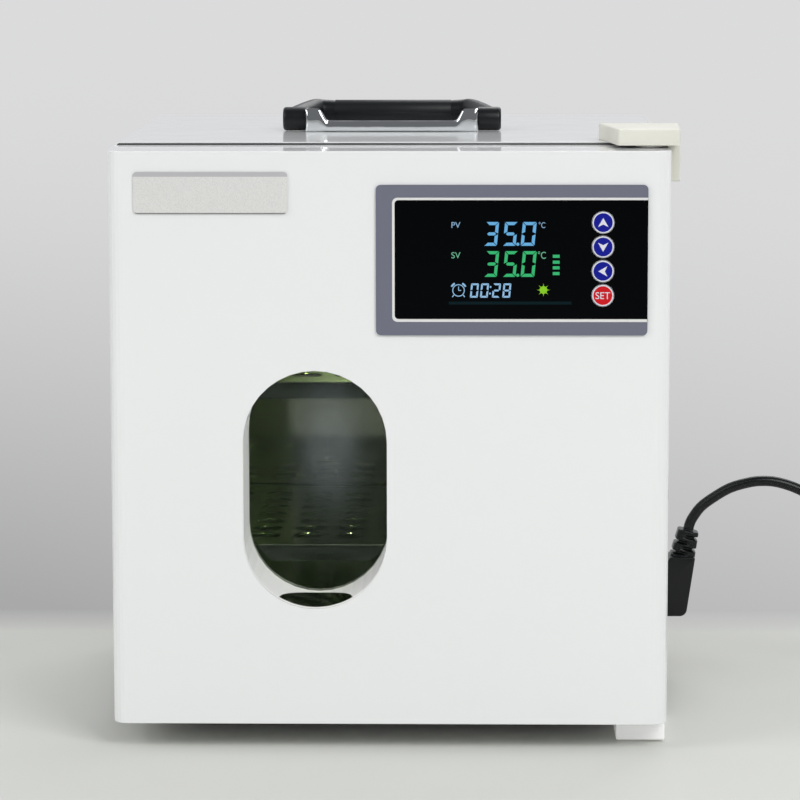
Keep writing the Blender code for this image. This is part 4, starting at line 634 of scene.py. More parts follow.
low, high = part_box("temperature_probe")
centre = (low + high) / 2
turn = np.linspace(0, np.pi / 2, 7)
tip = PROBE_RADIUS * np.stack((np.sin(turn), np.cos(turn) - 1), -1)
collar = (
    (PROBE_RADIUS, COLLAR_FRONT),
    (PROBE_COLLAR - COLLAR_SOFT, COLLAR_FRONT),
    (PROBE_COLLAR, COLLAR_FRONT - COLLAR_SOFT),
    (PROBE_COLLAR, COLLAR_REAR),
    (PROBE_RADIUS, COLLAR_REAR),
)
deep = high.y - low.y
profile = np.vstack((tip, np.array(collar) - (0, COLLAR_AT), (PROBE_RADIUS, -deep), (0, -deep)))
probe = turned(profile, (centre.x, low.y, centre.z), (0, -1, 0), 28)
piece("probe_tube", probe, bright, "cabinet", ["temperature_probe"])

# A strip of light-emitting diodes lights the chamber from its ceiling: each is a small dome.

LAMP_COUNT = 5
DOME_RADIUS = 0.0022
DOME_SINK = 0.0011
LAMP_LIGHT = 0.28
LAMP_COLOUR = (0.86, 1.0, 0.62)

strip = Finish("lamp_white", (236, 236, 222), 0.4)
strip.mottle(80, 3, 0.3, (214, 214, 198))
strip.dress("chamber_lamp")
dome = Finish("lamp_dome", (250, 250, 236), 0.2, Emission_Strength=2.5)
dome.shine(400, 2, (1, 1, 0.9, 1), (1, 0.96, 0.78, 1))
low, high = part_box("chamber_lamp")
centre = (low + high) / 2
pitch = (high.x - low.x) / LAMP_COUNT
profile = DOME_RADIUS * np.stack((np.sin(turn), 0.6 * np.cos(turn)), -1)
domes = []
for k in range(LAMP_COUNT):
    x = centre.x + (k - LAMP_COUNT // 2) * pitch
    domes.append(turned(profile, (x, centre.y, low.z + DOME_SINK), (0, 0, -1), 20))
piece("lamp_domes", merged(*domes), dome, "cabinet", angle=60)

place, size = (centre.x, centre.y, low.z - 2 * DOME_RADIUS), (high.x - low.x, high.y - low.y)
area_lamp("chamber_light", place, size, LAMP_LIGHT).data.color = LAMP_COLOUR

# Out of sight: a silicone heater stuck behind the chamber's rear wall, and two circuit boards.

silicone = Finish("heater_silicone", (190, 82, 42), 0.6)
silicone.mottle(40, 3, 0.3, (160, 62, 30))
silicone.pebble(500, 2, 0.0001, 0.4)
silicone.dress("heater_mat")

board = Finish("circuit_board", (30, 92, 56), 0.35)
traces = board.node("ShaderNodeTexBrick", {}, {"Vector": board.place(), "Scale": 150.0})
board.tint(traces * 0.35, (52, 128, 82))
board.pebble(900, 2, 0.00005, 0.4)
board.dress("power_board", "control_board")


# ---- Power inlet ----
# A black moulded inlet in the right wall with its fuse drawer and its rocker, whose two ends carry a
# white line for on and a white ring for off.

black = Finish("black_plastic", (36, 38, 42), 0.42)
black.patch(35, 3, 0.4, 0.85, 0.4, (52, 54, 58))
black.dull(300, 2, 0.14, 0.36)
black.pebble(2800, 2, 0.00005, 0.5)
black.dress("inlet_module", "fuse_drawer", "rocker_switch")

OUTLET_FACE = 0.1485
INLET_Y = 0.0498
INLET_Z = 0.0473
ROCKER_OFFSET = 0.033
ROCKER_TILT = math.radians(7)
ROCKER_SINK = 0.003
ROCKER_CREST = 0.0052
ROCKER_HALF = 0.0106
MARK_REACH = 0.0056
MARK_GAP = 0.00006
MARK_INNER, MARK_OUTER = 0.0013, 0.0018
STROKE_HALF = 0.00025

ink = Finish("white_ink", (226, 226, 224), 0.5)
ink.mottle(500, 2, 0.3, (206, 206, 204))
ring = np.stack([radius * np.stack(directions(36), -1) for radius in (MARK_INNER, MARK_OUTER)])
line = np.array([[(x, z) for x in (-STROKE_HALF, STROKE_HALF)] for z in (-MARK_OUTER, MARK_OUTER)])
cos, sin = math.cos(ROCKER_TILT), math.sin(ROCKER_TILT)
place = np.array((OUTLET_FACE - ROCKER_SINK, INLET_Y + ROCKER_OFFSET, INLET_Z))
marks = []
for flat, end in ((line, 1), (ring, -1)):
    along = end * MARK_REACH + flat[..., 1]
    rise = ROCKER_CREST - (ROCKER_HALF - np.abs(along)) * math.tan(ROCKER_TILT) + MARK_GAP
    spun = np.stack((rise * cos - along * sin, flat[..., 0], rise * sin + along * cos), -1)
    marks.append(grid(place + spun, close_columns=flat is ring))
piece("rocker_marks", merged(*marks), ink, "rocker", outward=False)


# ---- Handle ----
# A bright steel base with an ear at each end, and a folding bail of black plastic: a barrel at each
# ear, an elbow behind it and a soft sleeve on the bar between the elbows.

chrome = Finish("bright_steel", (226, 229, 231), 0.05, 1.0)
chrome.dull(120, 3, 0.05, 0.02)
chrome.pebble(70, 2, 0.0016, 0.4)

# The base is pressed from one sheet: a floor, two ears and a front that bulges a little. The front's
# height falls from the ears to the rim by half a cosine wave, and its bulge runs out at both ends.

BASE_HALF = 0.0489
BASE_SHEET = 0.0012
BASE_EDGE = 0.0004
FRONT_BULGE = 0.0016
BULGE_END = 0.002
EAR_RISE, RIM_RISE = 0.0128, 0.0060
EAR_FLAT, EAR_SLOPE = 0.0072, 0.0058
EAR_FOOT_INSET, EAR_HEAD_INSET = 0.002, 0.0045


def sheet(front, back):
    """Two facing grids of points as one closed sheet: both faces and the four edges between them."""
    edges = (
        (back[0], front[0]),
        (front[-1], back[-1]),
        (front[:, 0], back[:, 0]),
        (back[:, -1], front[:, -1]),
    )
    return merged(grid(front), grid(back[::-1]), *(grid(np.stack(edge)) for edge in edges))


low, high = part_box("handle_base")
middle = (low.x + high.x) / 2
left, right, front = middle - BASE_HALF, middle + BASE_HALF, low.y + FRONT_BULGE
across = np.linspace(-BASE_HALF, BASE_HALF, 161)
from_end = BASE_HALF - np.abs(across)
from_ear = np.clip((from_end - EAR_FLAT) / EAR_SLOPE, 0, 1)
top_edge = RIM_RISE + (EAR_RISE - RIM_RISE) * (1 + np.cos(np.pi * from_ear)) / 2
part_up = np.linspace(0, 1, 17)[:, None]
run_out = np.sqrt(1 - (1 - np.clip(from_end / BULGE_END, 0, 1)) ** 2)
swell = FRONT_BULGE * np.sin(np.pi * part_up**0.8) ** 0.6 * run_out
faces = []
for setback in (0, BASE_SHEET):
    points = np.broadcast_arrays(middle + across, front + setback - swell, low.z + part_up * top_edge)
    faces.append(np.stack(points, -1))
tray = oblong(left, right, front, high.y, 0.0005, 3)
ear = filleted(
    [
        (front, low.z, 0),
        (high.y - EAR_FOOT_INSET, low.z, 0),
        (high.y - EAR_HEAD_INSET, low.z + EAR_RISE, 0.004),
        (front, low.z + EAR_RISE, 0.001),
    ]
)
shells = [sheet(*faces), slab(tray, low.z, low.z + BASE_SHEET, BASE_EDGE, "z")]
for start in (left, right - BASE_SHEET):
    shells.append(slab(ear, start, start + BASE_SHEET, BASE_EDGE, "x"))
piece("handle_base_pressed", merged(*shells), chrome, "cabinet", ["handle_base"])

# Each arm of the bail is a round bar that bends from its barrel to the grip. A thinner core runs
# through the sleeve from arm to arm.

BARREL_RADIUS = 0.0067
BARREL_LENGTH = 0.0132
BARREL_START = 0.0490
BARREL_SOFT = 0.0009
BAR_RADIUS = 0.0062
ARM_CROOK = 0.0111
ARM_LAP = 0.0005
ELBOW_CREST = 0.0007
CORE_RADIUS = 0.0035
CORE_LAP = 0.003
PIVOT = Vector((-0.0046, 0.0018, 0.3323))

bail_black = Finish("bail_black", (14, 17, 20), 0.36, Specular_IOR_Level=0.35)
bail_black.patch(35, 3, 0.4, 0.85, 0.4, (24, 28, 32))
bail_black.dull(260, 2, 0.12, 0.3)
bail_black.pebble(2400, 2, 0.00006, 0.5)


def smoothed(route, steps):
    """A line through the points of a route: on each span a Catmull-Rom cubic of its four nearest."""
    route = np.array(route, float)
    ends = np.vstack((2 * route[0] - route[1], route, 2 * route[-1] - route[-2]))
    a, b, c, d = (ends[k : len(ends) - 3 + k, None] for k in range(4))
    t = np.linspace(0, 1, steps, endpoint=False)[:, None]
    span = 2 * b + (c - a) * t + (2 * a - 5 * b + 4 * c - d) * t**2 + (3 * b - a - 3 * c + d) * t**3
    return np.vstack((span.reshape(-1, 3) / 2, route[-1:]))


low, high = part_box("handle_grip")
bar = (low + high) / 2
grip_half = (high.x - low.x) / 2
reach, rise = bar.y - PIVOT.y, bar.z - PIVOT.z
middle = BARREL_START + BARREL_LENGTH / 2
route = (
    (middle, 0, 0),
    (middle - ARM_CROOK * 0.2, reach * 0.26, rise * 0.32),
    (middle - ARM_CROOK * 0.62, reach * 0.68, rise * 0.88),
    (middle - ARM_CROOK, reach * 0.94, rise + ELBOW_CREST),
    (middle - ARM_CROOK * 1.35, reach, rise + ELBOW_CREST / 2),
    (grip_half - ARM_LAP, reach, rise),
)
soft = BARREL_RADIUS - BARREL_SOFT
barrel = (
    (0, BARREL_LENGTH),
    (soft - 0.0006, BARREL_LENGTH),
    (soft, BARREL_LENGTH - 0.0002),
    (BARREL_RADIUS - 0.0002, BARREL_LENGTH - BARREL_SOFT),
    (BARREL_RADIUS, BARREL_LENGTH - 2 * BARREL_SOFT),
    (BARREL_RADIUS, 0.0004),
    (BARREL_RADIUS - 0.0004, 0),
    (0, 0),
)
shells = []
for side in (-1, 1):
    line = smoothed([Vector((side * x, y, z)) + PIVOT for x, y, z in route], 8)
    shells.append(swept(line, np.linspace(BARREL_RADIUS, BAR_RADIUS, len(line)), 32))
    shells.append(turned(barrel, PIVOT + Vector((side * BARREL_START, 0, 0)), (side, 0, 0), 48))
core = [(bar.x + side * (grip_half + CORE_LAP), bar.y, bar.z) for side in (-1, 1)]
shells.append(swept(core, CORE_RADIUS, 24))
piece("handle_bail_moulded", merged(*shells), bail_black, "handle", ["handle_bail"])

sleeve = Finish("grip_rubber", (15, 18, 21), 0.46, Specular_IOR_Level=0.35)
sleeve.mottle(60, 3, 0.3, (26, 30, 34))
sleeve.pebble(2400, 2, 0.00006, 0.5)
radius = (high.z - low.z) / 2
profile = [(radius * 0.6, 0), (radius - 0.0003, 0), (radius - 0.0001, 0.0001), (radius, 0.0003)]
profile += [(r, 2 * grip_half - along) for r, along in reversed(profile)]
grip = turned(profile, (low.x, bar.y, bar.z), (1, 0, 0), 48)
piece("handle_sleeve", grip, sleeve, "handle", ["handle_grip"])


# ---- Hinges ----
# The covers of both hinges are moulded: warm white above, white below. They hide the plated brackets
# and pins that the door turns on.

cream = Finish("cream_plastic", (226, 225, 214), 0.42)
cream.patch(25, 3, 0.4, 0.9, 0.4, (214, 212, 199))
cream.pebble(2600, 2, 0.00004, 0.5)

# The lower cover's faint glow is painted light: it stands in for light thrown up from the bench into the
# shade under the door.
lower_white_glow = Finish("lower_cover_painted_glow", (244, 244, 243), 0.34, Emission_Strength=0.16)
lower_white_glow.mottle(25, 3, 0.3, (234, 234, 232))
lower_white_glow.shine(25, 3, (1, 1, 1, 1), (0.9, 0.9, 0.9, 1))
lower_white_glow.dress("lower_hinge_cover")

# The upper cover is an open-bottomed hood over the door's corner, and its leg reaches down the side.

COVER_WALL = 0.0015
COVER_EDGE = 0.0008
COVER_FLOOR = 0.3256
COVER_LIFT = 0.0004
COVER_RIGHT, COVER_REAR_RIGHT = 0.1523, 0.1544
COVER_FRONT_LEFT, COVER_REAR_LEFT = 0.1192, 0.1102
LEG_LEFT, LEG_FRONT, LEG_FOOT = 0.1473, -0.0962, 0.3038
LEG_REAR_INSET = 0.003


def hood(outline, floor_z, roof_z, wall, edge):
    """A lid with an open foot: inside up to roof - wall, outside up to the roof, where the outline is
    drawn in by edge x (1 - cos) while it rises by edge x sin."""
    turn = np.linspace(0, np.pi / 2, 6)
    drawn = np.concatenate(([wall, wall, 0], edge * (1 - np.cos(turn))))
    levels = np.concatenate(([roof_z - wall, floor_z, floor_z], roof_z - edge + edge * np.sin(turn)))
    return layered(outline, drawn, levels, "z")


low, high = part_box("upper_hinge_cover")
outline = filleted(
    [
        (COVER_FRONT_LEFT, low.y, 0.0015),
        (COVER_RIGHT, low.y, 0.0015),
        (COVER_REAR_RIGHT, high.y, 0.003),
        (COVER_REAR_LEFT, high.y, 0.003),
    ]
)
cover = hood(outline, COVER_FLOOR, high.z + COVER_LIFT, COVER_WALL, COVER_EDGE)
outline = oblong(LEG_FRONT, high.y - LEG_REAR_INSET, LEG_FOOT, high.z - COVER_WALL, COVER_EDGE, 3)
leg = slab(outline, LEG_LEFT, COVER_REAR_RIGHT, COVER_EDGE, "x")
piece("upper_cover_hood", merged(cover, leg), cream, "cabinet", ["upper_hinge_cover"])


# ---- Door ----
# The door's window has a clear pane in front, one with a dark green cast behind it and a glossy white
# tunnel between them. A soft pale seal with a ridge along each side runs round the door's back and
# folds against the cabinet's front frame.

SMUDGE_PLACE = (-0.035, 0.166)
SMUDGE_SPREAD = (0.016, 0.030)

clear = Finish("window_glass", (40, 50, 38), 0.03, Specular_IOR_Level=0.15)
green = Finish("window_green", (22, 34, 14), 0.03, Alpha=0.32, Specular_IOR_Level=0.15)
for glass in (clear, green):
    glass.vary("Roughness", glass.ramp(glass.noise(30, 5), (0.55, 0.02), (0.8, 0.06)))
x, z = (
    (clear.along(axis) - middle) / spread
    for axis, middle, spread in zip("XZ", SMUDGE_PLACE, SMUDGE_SPREAD)
)
near = ((x * x + z * z) * -1).exp()
specks = clear.ramp(clear.noise(2600, 4), (0.57, 0), (0.7, 1))
haze = clear.ramp(clear.noise(90, 5), (0.5, 0), (0.75, 0.04))
clear.tint(near * 1.4, (178, 190, 196))
clear.vary("Alpha", near * (specks + haze) * 0.5 + 0.04)
clear.dress("window_pane_outer")
green.dress("window_pane_inner")

# The tunnel glows a little: painted light that stands in for the light falling into it through the front
# pane.
tunnel = Finish("tunnel_painted_glow", (240, 240, 238), 0.1, Emission_Strength=0.3)
tunnel.mottle(25, 3, 0.3, (232, 232, 230))
tunnel.shine(25, 3, (1, 1, 1, 1), (0.9, 0.92, 0.9, 1))
tunnel.dress("window_spacer")

# A polished film lies on the tunnel's floor, where it mirrors the chamber. Its rear edge is an arch:
# its depth at an angle from the lowest line is 0.85 x (1 - (angle / 31 degrees) squared) ^ 0.7.

SPACER_WALL = 0.0027
FILM_SPREAD = math.radians(31)
FILM_DEPTH = 0.85
FILM_LIFT = 0.0003
FILM_START = 0.0003

film = Finish("mirror_film", (214, 216, 208), 0.03, 1.0)
film.dull(60, 3, 0.05, 0.02)
low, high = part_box("window_spacer")
front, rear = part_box("window_pane_outer")[1].y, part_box("window_pane_inner")[0].y
outer = (high.x - low.x) / 2
lean = np.linspace(-1, 1, 41)
part_way = np.linspace(0, 1, 12)[:, None]
deep = (rear - front) * FILM_DEPTH * np.clip(1 - lean**2, 0.0001, 1) ** 0.7
faces = []
for lift in (FILM_LIFT, FILM_LIFT / 3):
    radius = outer - SPACER_WALL - lift
    x = (low.x + high.x) / 2 + radius * np.sin(lean * FILM_SPREAD)
    z = low.z + outer - radius * np.cos(lean * FILM_SPREAD)
    faces.append(np.stack(np.broadcast_arrays(x, front + FILM_START + part_way * deep, z), -1))
piece("tunnel_film", sheet(*faces), film, "door")

# The seal's profile, as shares of its width and of its thickness.

SEAL_CORNER = 0.012
SEAL_TIGHTEN = 0.7
SEAL_WIDTH = 0.011
SEAL_INSETS = (0, 0.04, 0.16, 0.28, 0.38, 0.5, 0.62, 0.72, 0.84, 0.96, 1, 1, 0)
SEAL_HEIGHTS = (0.45, 0.8, 1, 0.96, 0.6, 0.5, 0.6, 0.96, 1, 0.8, 0.45, 0, 0)

seal = Finish("gasket_rubber", (206, 206, 203), 0.62)
seal.mottle(50, 3, 0.3, (188, 188, 184))
seal.pebble(1500, 2, 0.00006, 0.5)
low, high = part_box("door_gasket")
profile = np.stack((SEAL_INSETS, SEAL_HEIGHTS), -1) * (SEAL_WIDTH, high.y - low.y) + (0, low.y)
ring = band(low, high, profile, SEAL_CORNER, SEAL_TIGHTEN, 8)
piece("door_seal", ring, seal, "door", ["door_gasket"])


# ---- Control panel ----
# A blue-grey printed border with a white line inside it, then a black gloss lens. The display's
# segments glow through the lens: places on the door are millimetres from its middle and its foot.

border = Finish("fascia_grey", (108, 110, 126), 0.5)
border.mottle(30, 3, 0.3, (100, 102, 118))
border.pebble(3000, 2, 0.00003, 0.4)
border.dress("control_fascia")

lens_black = Finish("lens_black", (3, 4, 6), 0.14, Specular_IOR_Level=0.04)
lens_black.dull(70, 4, 0.08, 0.1)
lens_black.dress("display_lens")

dark = Finish("display_black", (10, 13, 18), 0.2, Specular_IOR_Level=0.2)
dark.dull(70, 4, 0.1, 0.15)
dark.dress("lcd_module")

PRINT_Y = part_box("display_lens")[0].y - MARK_GAP
DOOR_MIDDLE = -0.003
DOOR_FOOT = 0.014


def on_door(flat, y=PRINT_Y):
    """Millimetres (right of the door's middle, above its foot) as points on a plane before the door."""
    flat = np.asarray(flat, float) / 1000
    return np.stack((DOOR_MIDDLE + flat[..., 0], np.full(flat.shape[:-1], y), DOOR_FOOT + flat[..., 1]), -1)


def prints(shapes, y=PRINT_Y):
    """Flat outlines in millimetres, each as one face on the plane."""
    return merged(*((on_door(shape, y), [tuple(range(len(shape)))]) for shape in shapes))


def bar_shape(x0, z0, x1, z1):
    return [(x0, z0), (x1, z0), (x1, z1), (x0, z1)]


def ring_shape(x, z, inner, outer, start=0.0, end=360.0, steps=40):
    """A flat ring or part of one: out along the outer arc and back along the inner one."""
    turn = np.radians(np.linspace(start, end, steps))
    arc = np.stack((np.cos(turn), np.sin(turn)), -1)
    return np.concatenate((arc * outer, arc[::-1] * inner)) + (x, z)


# The white line: three strips that close round the lens's left corners. Each of its two edges has its
# left, its foot, its head and its corner radius.

LINE_EDGES = ((1.8, 219.2, 285.4, 2.8), (3.15, 220.7, 284.1, 2.0))
LENS_RIGHT = 137.3

edges = []
for left, foot, head, radius in LINE_EDGES:
    corners = [(LENS_RIGHT, foot, 0), (LENS_RIGHT, head, 0), (left, head, radius), (left, foot, radius)]
    edges.append(on_door(np.roll(filleted(corners, 8), -1, 0)))
piece("fascia_line", grid(np.stack(edges)), ink, "door", outward=False)

# The display: three figures above and three below, a clock, a sun, the words and the lit lower edge.

SEGMENTS = {"0": "abcdef", "2": "abged", "3": "abgcd", "5": "afgcd", "8": "abcdefg"}
SLANT = 0.095
MITRE = 0.14
DIM = 0.84


def digit(number, x, z, width, height, stroke):
    """The lit segments of a seven-segment digit, mitred at their ends and leaning to the right."""
    w, h, s, gap = width, height, stroke, stroke * MITRE
    m = h / 2
    shapes = {
        "a": [(gap, h), (w - gap, h), (w - s - gap, h - s), (s + gap, h - s)],
        "d": [(gap, 0), (s + gap, s), (w - s - gap, s), (w - gap, 0)],
        "f": [(0, h - gap), (s, h - s - gap), (s, m + s / 2 + gap), (0, m + gap)],
        "b": [(w, h - gap), (w, m + gap), (w - s, m + s / 2 + gap), (w - s, h - s - gap)],
        "e": [(0, gap), (0, m - gap), (s, m - s / 2 - gap), (s, s + gap)],
        "c": [(w, gap), (w - s, s + gap), (w - s, m - s / 2 - gap), (w, m - gap)],
        "g": [
            (s / 2 + gap, m),
            (s + gap, m + s / 2),
            (w - s - gap, m + s / 2),
            (w - s / 2 - gap, m),
            (w - s - gap, m - s / 2),
            (s + gap, m - s / 2),
        ],
    }
    return [[(x + u + v * SLANT, z + v) for u, v in shapes[part]] for part in SEGMENTS[number]]


def lettering(words, x, z, height, y=PRINT_Y, stretch=1.0):
    """Plain block letters of a height in millimetres, centred on a place, as faces on the plane."""
    curve = bpy.data.curves.new("letters", "FONT")
    curve.body = words
    holder = bpy.data.objects.new("letters", curve)
    bpy.context.collection.objects.link(holder)
    bpy.context.view_layer.update()
    mesh = bpy.data.meshes.new_from_object(holder.evaluated_get(bpy.context.evaluated_depsgraph_get()))
    points = np.empty(len(mesh.vertices) * 3)
    mesh.vertices.foreach_get("co", points)
    flat = points.reshape(-1, 3)[:, :2]
    faces = [tuple(face.vertices) for face in mesh.polygons]
    bpy.data.objects.remove(holder)
    bpy.data.curves.remove(curve)
    bpy.data.meshes.remove(mesh)
    low, high = flat.min(0), flat.max(0)
    flat = (flat - (low + high) / 2) * height / (high[1] - low[1]) * (stretch, 1) + (x, z)
    return on_door(flat, y), faces


def display(part, shell, finish, colour):
    """A lit piece of the display: its own colour, a little uneven over each segment."""
    lit = Finish(finish, (8, 10, 12), 0.4, Emission_Strength=1.0, Specular_IOR_Level=0.0)
    lit.shine(700, 2, shade(*colour), shade(*(value * DIM for value in colour)))
    piece("display_" + part, shell, lit, "door", outward=False)


above, below = [], []
for shapes, foot, tall in ((above, 259.85, 12.65), (below, 243.3, 13.7)):
    for number, x in zip("350", (50.6, 60.55, 70.0)):
        shapes += digit(number, x, foot, 7.3 if number == "0" else 6.8, tall, 1.65)
    shapes.append(ring_shape(68.5, foot + 0.85, 0, 0.85))
below += [bar_shape(87.1, z, 90.7, z + 1.65) for z in (244.25, 247.3, 250.3, 253.45)]
display("actual", prints(above), "glow_blue", (112, 186, 238))
display("set", prints(below), "glow_green", (62, 196, 122))

CLOCK = (37.1, 236.05)
CLOCK_HANDS = ((-0.2, 0, 0.2, 2.1), (0, -0.2, 1.4, 0.2))
CLOCK_FOOT = ((2.2, -2.5), (3.1, -3.7), (3.5, -3.4), (2.7, -2.3))
shapes = []
for number, x in zip("0028", (43.1, 48.45, 54.8, 60.3)):
    shapes += digit(number, x, 232.2, 4.15, 7.6, 0.95)
shapes += [ring_shape(*place, 0, 0.5) for place in ((53.8, 234.4), (54.1, 237.9))]
shapes += [ring_shape(*CLOCK, 2.85, 3.3, start, start + 180) for start in (0, 180)]
shapes += [ring_shape(*CLOCK, 3.75, 4.7, start, start + 34, 8) for start in (28, 118)]
shapes += [bar_shape(*hand) + np.array(CLOCK) for hand in CLOCK_HANDS]
shapes += [(np.array(CLOCK_FOOT) * (side, 1) + CLOCK)[::side] for side in (-1, 1)]
display("time", prints(shapes), "glow_pale", (158, 206, 244))

words = merged(lettering("PV", 35.7, 270.9, 3.1), lettering("°C", 81.3, 270.9, 3.2, stretch=0.8))
display("words_blue", words, "glow_words", (150, 190, 222))
words = merged(lettering("SV", 35.7, 254.8, 3.3), lettering("°C", 81.3, 254.9, 3.9, stretch=0.8))
display("words_green", words, "glow_words_green", (120, 196, 158))

SUN = (82.2, 236.3)
reach = np.array((2.0, 2.1, 3.5, 2.1))
turn = np.radians(np.arange(0, 360, 45)[:, None] + (-22.5, -7, 0, 7))
star = np.stack((reach * np.sin(turn), reach * np.cos(turn)), -1).reshape(-1, 2)[::-1]
display("sun", prints([star + SUN]), "glow_sun", (146, 216, 44))
display("edge", prints([bar_shape(31.9, 228.5, 97.1, 230.1)]), "glow_edge", (10, 30, 34))

# Four round caps stand through the lens, each with a white ring at its rim and a white mark.

KEY_RADIUS = 0.0057
KEY_RING = 0.0007
KEY_CAP = 0.001
KEY_STEM = 0.003
KEY_MARK_GAP = 0.00005
KEY_TURNS = {"key_up": 0, "key_down": 180, "key_left": 90, "key_set": None}
ARROW = ((0, 2.5), (-2.75, -2.3), (0, -1.0), (2.75, -2.3))

blue = Finish("key_blue", (5, 16, 138), 0.4, Specular_IOR_Level=0.2)
blue.mottle(200, 3, 0.3, (10, 26, 158))
red = Finish("key_red", (206, 16, 28), 0.4, Specular_IOR_Level=0.2)
red.mottle(200, 3, 0.3, (186, 14, 24))
ring_white = Finish("key_white", (222, 222, 232), 0.45, Specular_IOR_Level=0.2)
ring_white.mottle(300, 2, 0.3, (204, 204, 218))

inner = KEY_RADIUS - KEY_RING
rim = (
    (inner, -0.00002),
    (inner + 0.0001, 0.00003),
    (KEY_RADIUS - 0.0002, 0.00003),
    (KEY_RADIUS, -0.0002),
    (KEY_RADIUS, -KEY_CAP),
    (inner, -KEY_CAP),
    (inner, -0.00002),
)
for name, angle in KEY_TURNS.items():
    low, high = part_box(name)
    centre = (low + high) / 2
    under, deep = KEY_CAP / 2, high.y - low.y
    cap = ((0, 0), (inner, 0), (inner, -under), (KEY_STEM, -under), (KEY_STEM, -deep), (0, -deep))
    cap, ring = (turned(part, (centre.x, low.y, centre.z), (0, -1, 0), 56) for part in (cap, rim))
    flat = ((centre.x - DOOR_MIDDLE) * 1000, (centre.z - DOOR_FOOT) * 1000)
    if angle is None:
        slot, finish = "key_red", red
        mark = lettering("SET", *flat, 3.7, low.y - KEY_MARK_GAP, 0.98)
    else:
        slot, finish = "key_blue", blue
        cos, sin = math.cos(math.radians(angle)), math.sin(math.radians(angle))
        mark = prints([ARROW @ np.array(((cos, sin), (-sin, cos))) + flat], low.y - KEY_MARK_GAP)
    piece(name + "_cap", cap, finish, name, [name])
    piece(name + "_ring", merged(ring, mark), ring_white, name, outward=False)

# The badge is a blank plate of pale metal. A darker band along its upper edge is painted shade, and a dark
# line along its foot is a painted shadow line.

BADGE_CORNER = 0.0022
BADGE_EDGE = 0.0003
BADGE_SHADE_BAND = 0.0026
BADGE_SHADOW_LINE = 0.0005

silver = Finish("badge_silver", (232, 231, 229), 0.42, 0.2)
sparkle = silver.noise(2200, 2)
silver.tint(silver.ramp(sparkle, (0.42, 0), (0.62, 0.5)), (210, 209, 208))
silver.vary("Roughness", sparkle * 0.3 + 0.26)
silver.bump(sparkle, 0.00003, 0.5)
low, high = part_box("badge_plate")
level = silver.along("Z")
# Painted shade: a darker band along the top edge, and a painted shadow line along the foot.
silver.tint(level > high.z - BADGE_SHADE_BAND, (192, 191, 194))
silver.tint(level < low.z + BADGE_SHADOW_LINE, (126, 126, 128))
plate = slab(oblong(low.x, high.x, low.z, high.z, BADGE_CORNER), low.y, high.y, BADGE_EDGE, "y")
piece("badge_pressed", plate, silver, "door", ["badge_plate"])


# ---- Mains lead ----
# A flexible black lead of one and a half metres. It leaves the right-angle connector through a notched
# strain relief, arches down to the bench and ends in a tied coil with its three-pin plug on top.

CORD_DIAMETER = 0.0062
CORD_LINE = (
    *((0.0235, 0.0457), (0.0282, 0.0522), (0.0353, 0.0577), (0.0450, 0.0635), (0.0552, 0.0667)),
    *((0.0637, 0.0679), (0.0739, 0.0671), (0.0871, 0.0625), (0.0992, 0.0545), (0.1102, 0.0439)),
    *((0.1192, 0.0307), (0.1267, 0.0152), (0.1332, -0.0013), (0.1394, -0.0173), (0.1462, -0.0308)),
    *((0.1542, -0.0395), (0.1617, -0.0432), (0.1680, -0.0438), (0.1760, -0.0439), (0.1840, -0.0439)),
    (0.1920, -0.0439),
)
NECK_FOOT = (0.0174, 0.0227)
NECK_HEAD = (0.0210, 0.0386)
NECK_GAP = 0.0003
BENCH_GAP = 0.0003
DRIFT_START = 0.300
COIL_REACH = 0.1997
COIL_RADIUS = 0.035
COIL_TURNS = 5
COIL_STEPS = 36
TAIL_TURN = 95 / 360
PLUG_OFFSET = 0.025
PLUG_HEIGHT = 0.019
PLUG_TAIL = 0.022
TAIL_LAP = 0.003

vinyl = Finish("cord_black", (6, 9, 10), 0.3, Specular_IOR_Level=0.35)
vinyl.mottle(120, 3, 0.3, (13, 16, 17))
vinyl.pebble(1600, 2, 0.00003, 0.3)


def from_inlet(offset):
    """A place from its offsets right of the inlet's face and above its centre."""
    return np.array((OUTLET_FACE + offset[0], INLET_Y, INLET_Z + offset[1]))


def wave(share):
    """0 at a share of 0, 1 at a share of 1, and half a cosine wave between."""
    return (1 - np.cos(np.pi * np.clip(share, 0, 1))) / 2


def eased(turns, start):
    """0 before a start, 1 a third of a turn later, and half a cosine wave between."""
    return wave((turns - start) * 3)


neck_foot, neck_head = from_inlet(NECK_FOOT), from_inlet(NECK_HEAD)
axis = (neck_head - neck_foot) / np.linalg.norm(neck_head - neck_foot)
exit_place = neck_head + axis * NECK_GAP
coil_x = OUTLET_FACE + COIL_REACH
coil_y = INLET_Y + COIL_RADIUS
bed = CORD_DIAMETER / 2 + BENCH_GAP

arch = np.vstack((exit_place, exit_place + axis * CORD_DIAMETER / 2, *map(from_inlet, CORD_LINE)))
arch[:, 1] -= CORD_DIAMETER * wave((arch[:, 0] - DRIFT_START) / (coil_x - DRIFT_START))
arch[:, 2] = np.maximum(arch[:, 2], bed)

turns = np.arange(0, COIL_TURNS + TAIL_TURN, 1 / COIL_STEPS)
away = eased(turns, 3) + eased(turns, 4) - eased(turns, 2 / 3) - eased(turns, 5 / 3)
radius = COIL_RADIUS + CORD_DIAMETER * (1 + away)
rise = bed + CORD_DIAMETER * (eased(turns, 7 / 3) + eased(turns, 14 / 3))
angle = 2 * np.pi * turns - np.pi / 2
winding = np.stack((coil_x + radius * np.cos(angle), coil_y + radius * np.sin(angle), rise), -1)

# The lead's tail turns from its heading at the coil's end to the plug's: its shares of the way over are
# the differences of the heading's sines and cosines, and it rises by half a cosine wave.

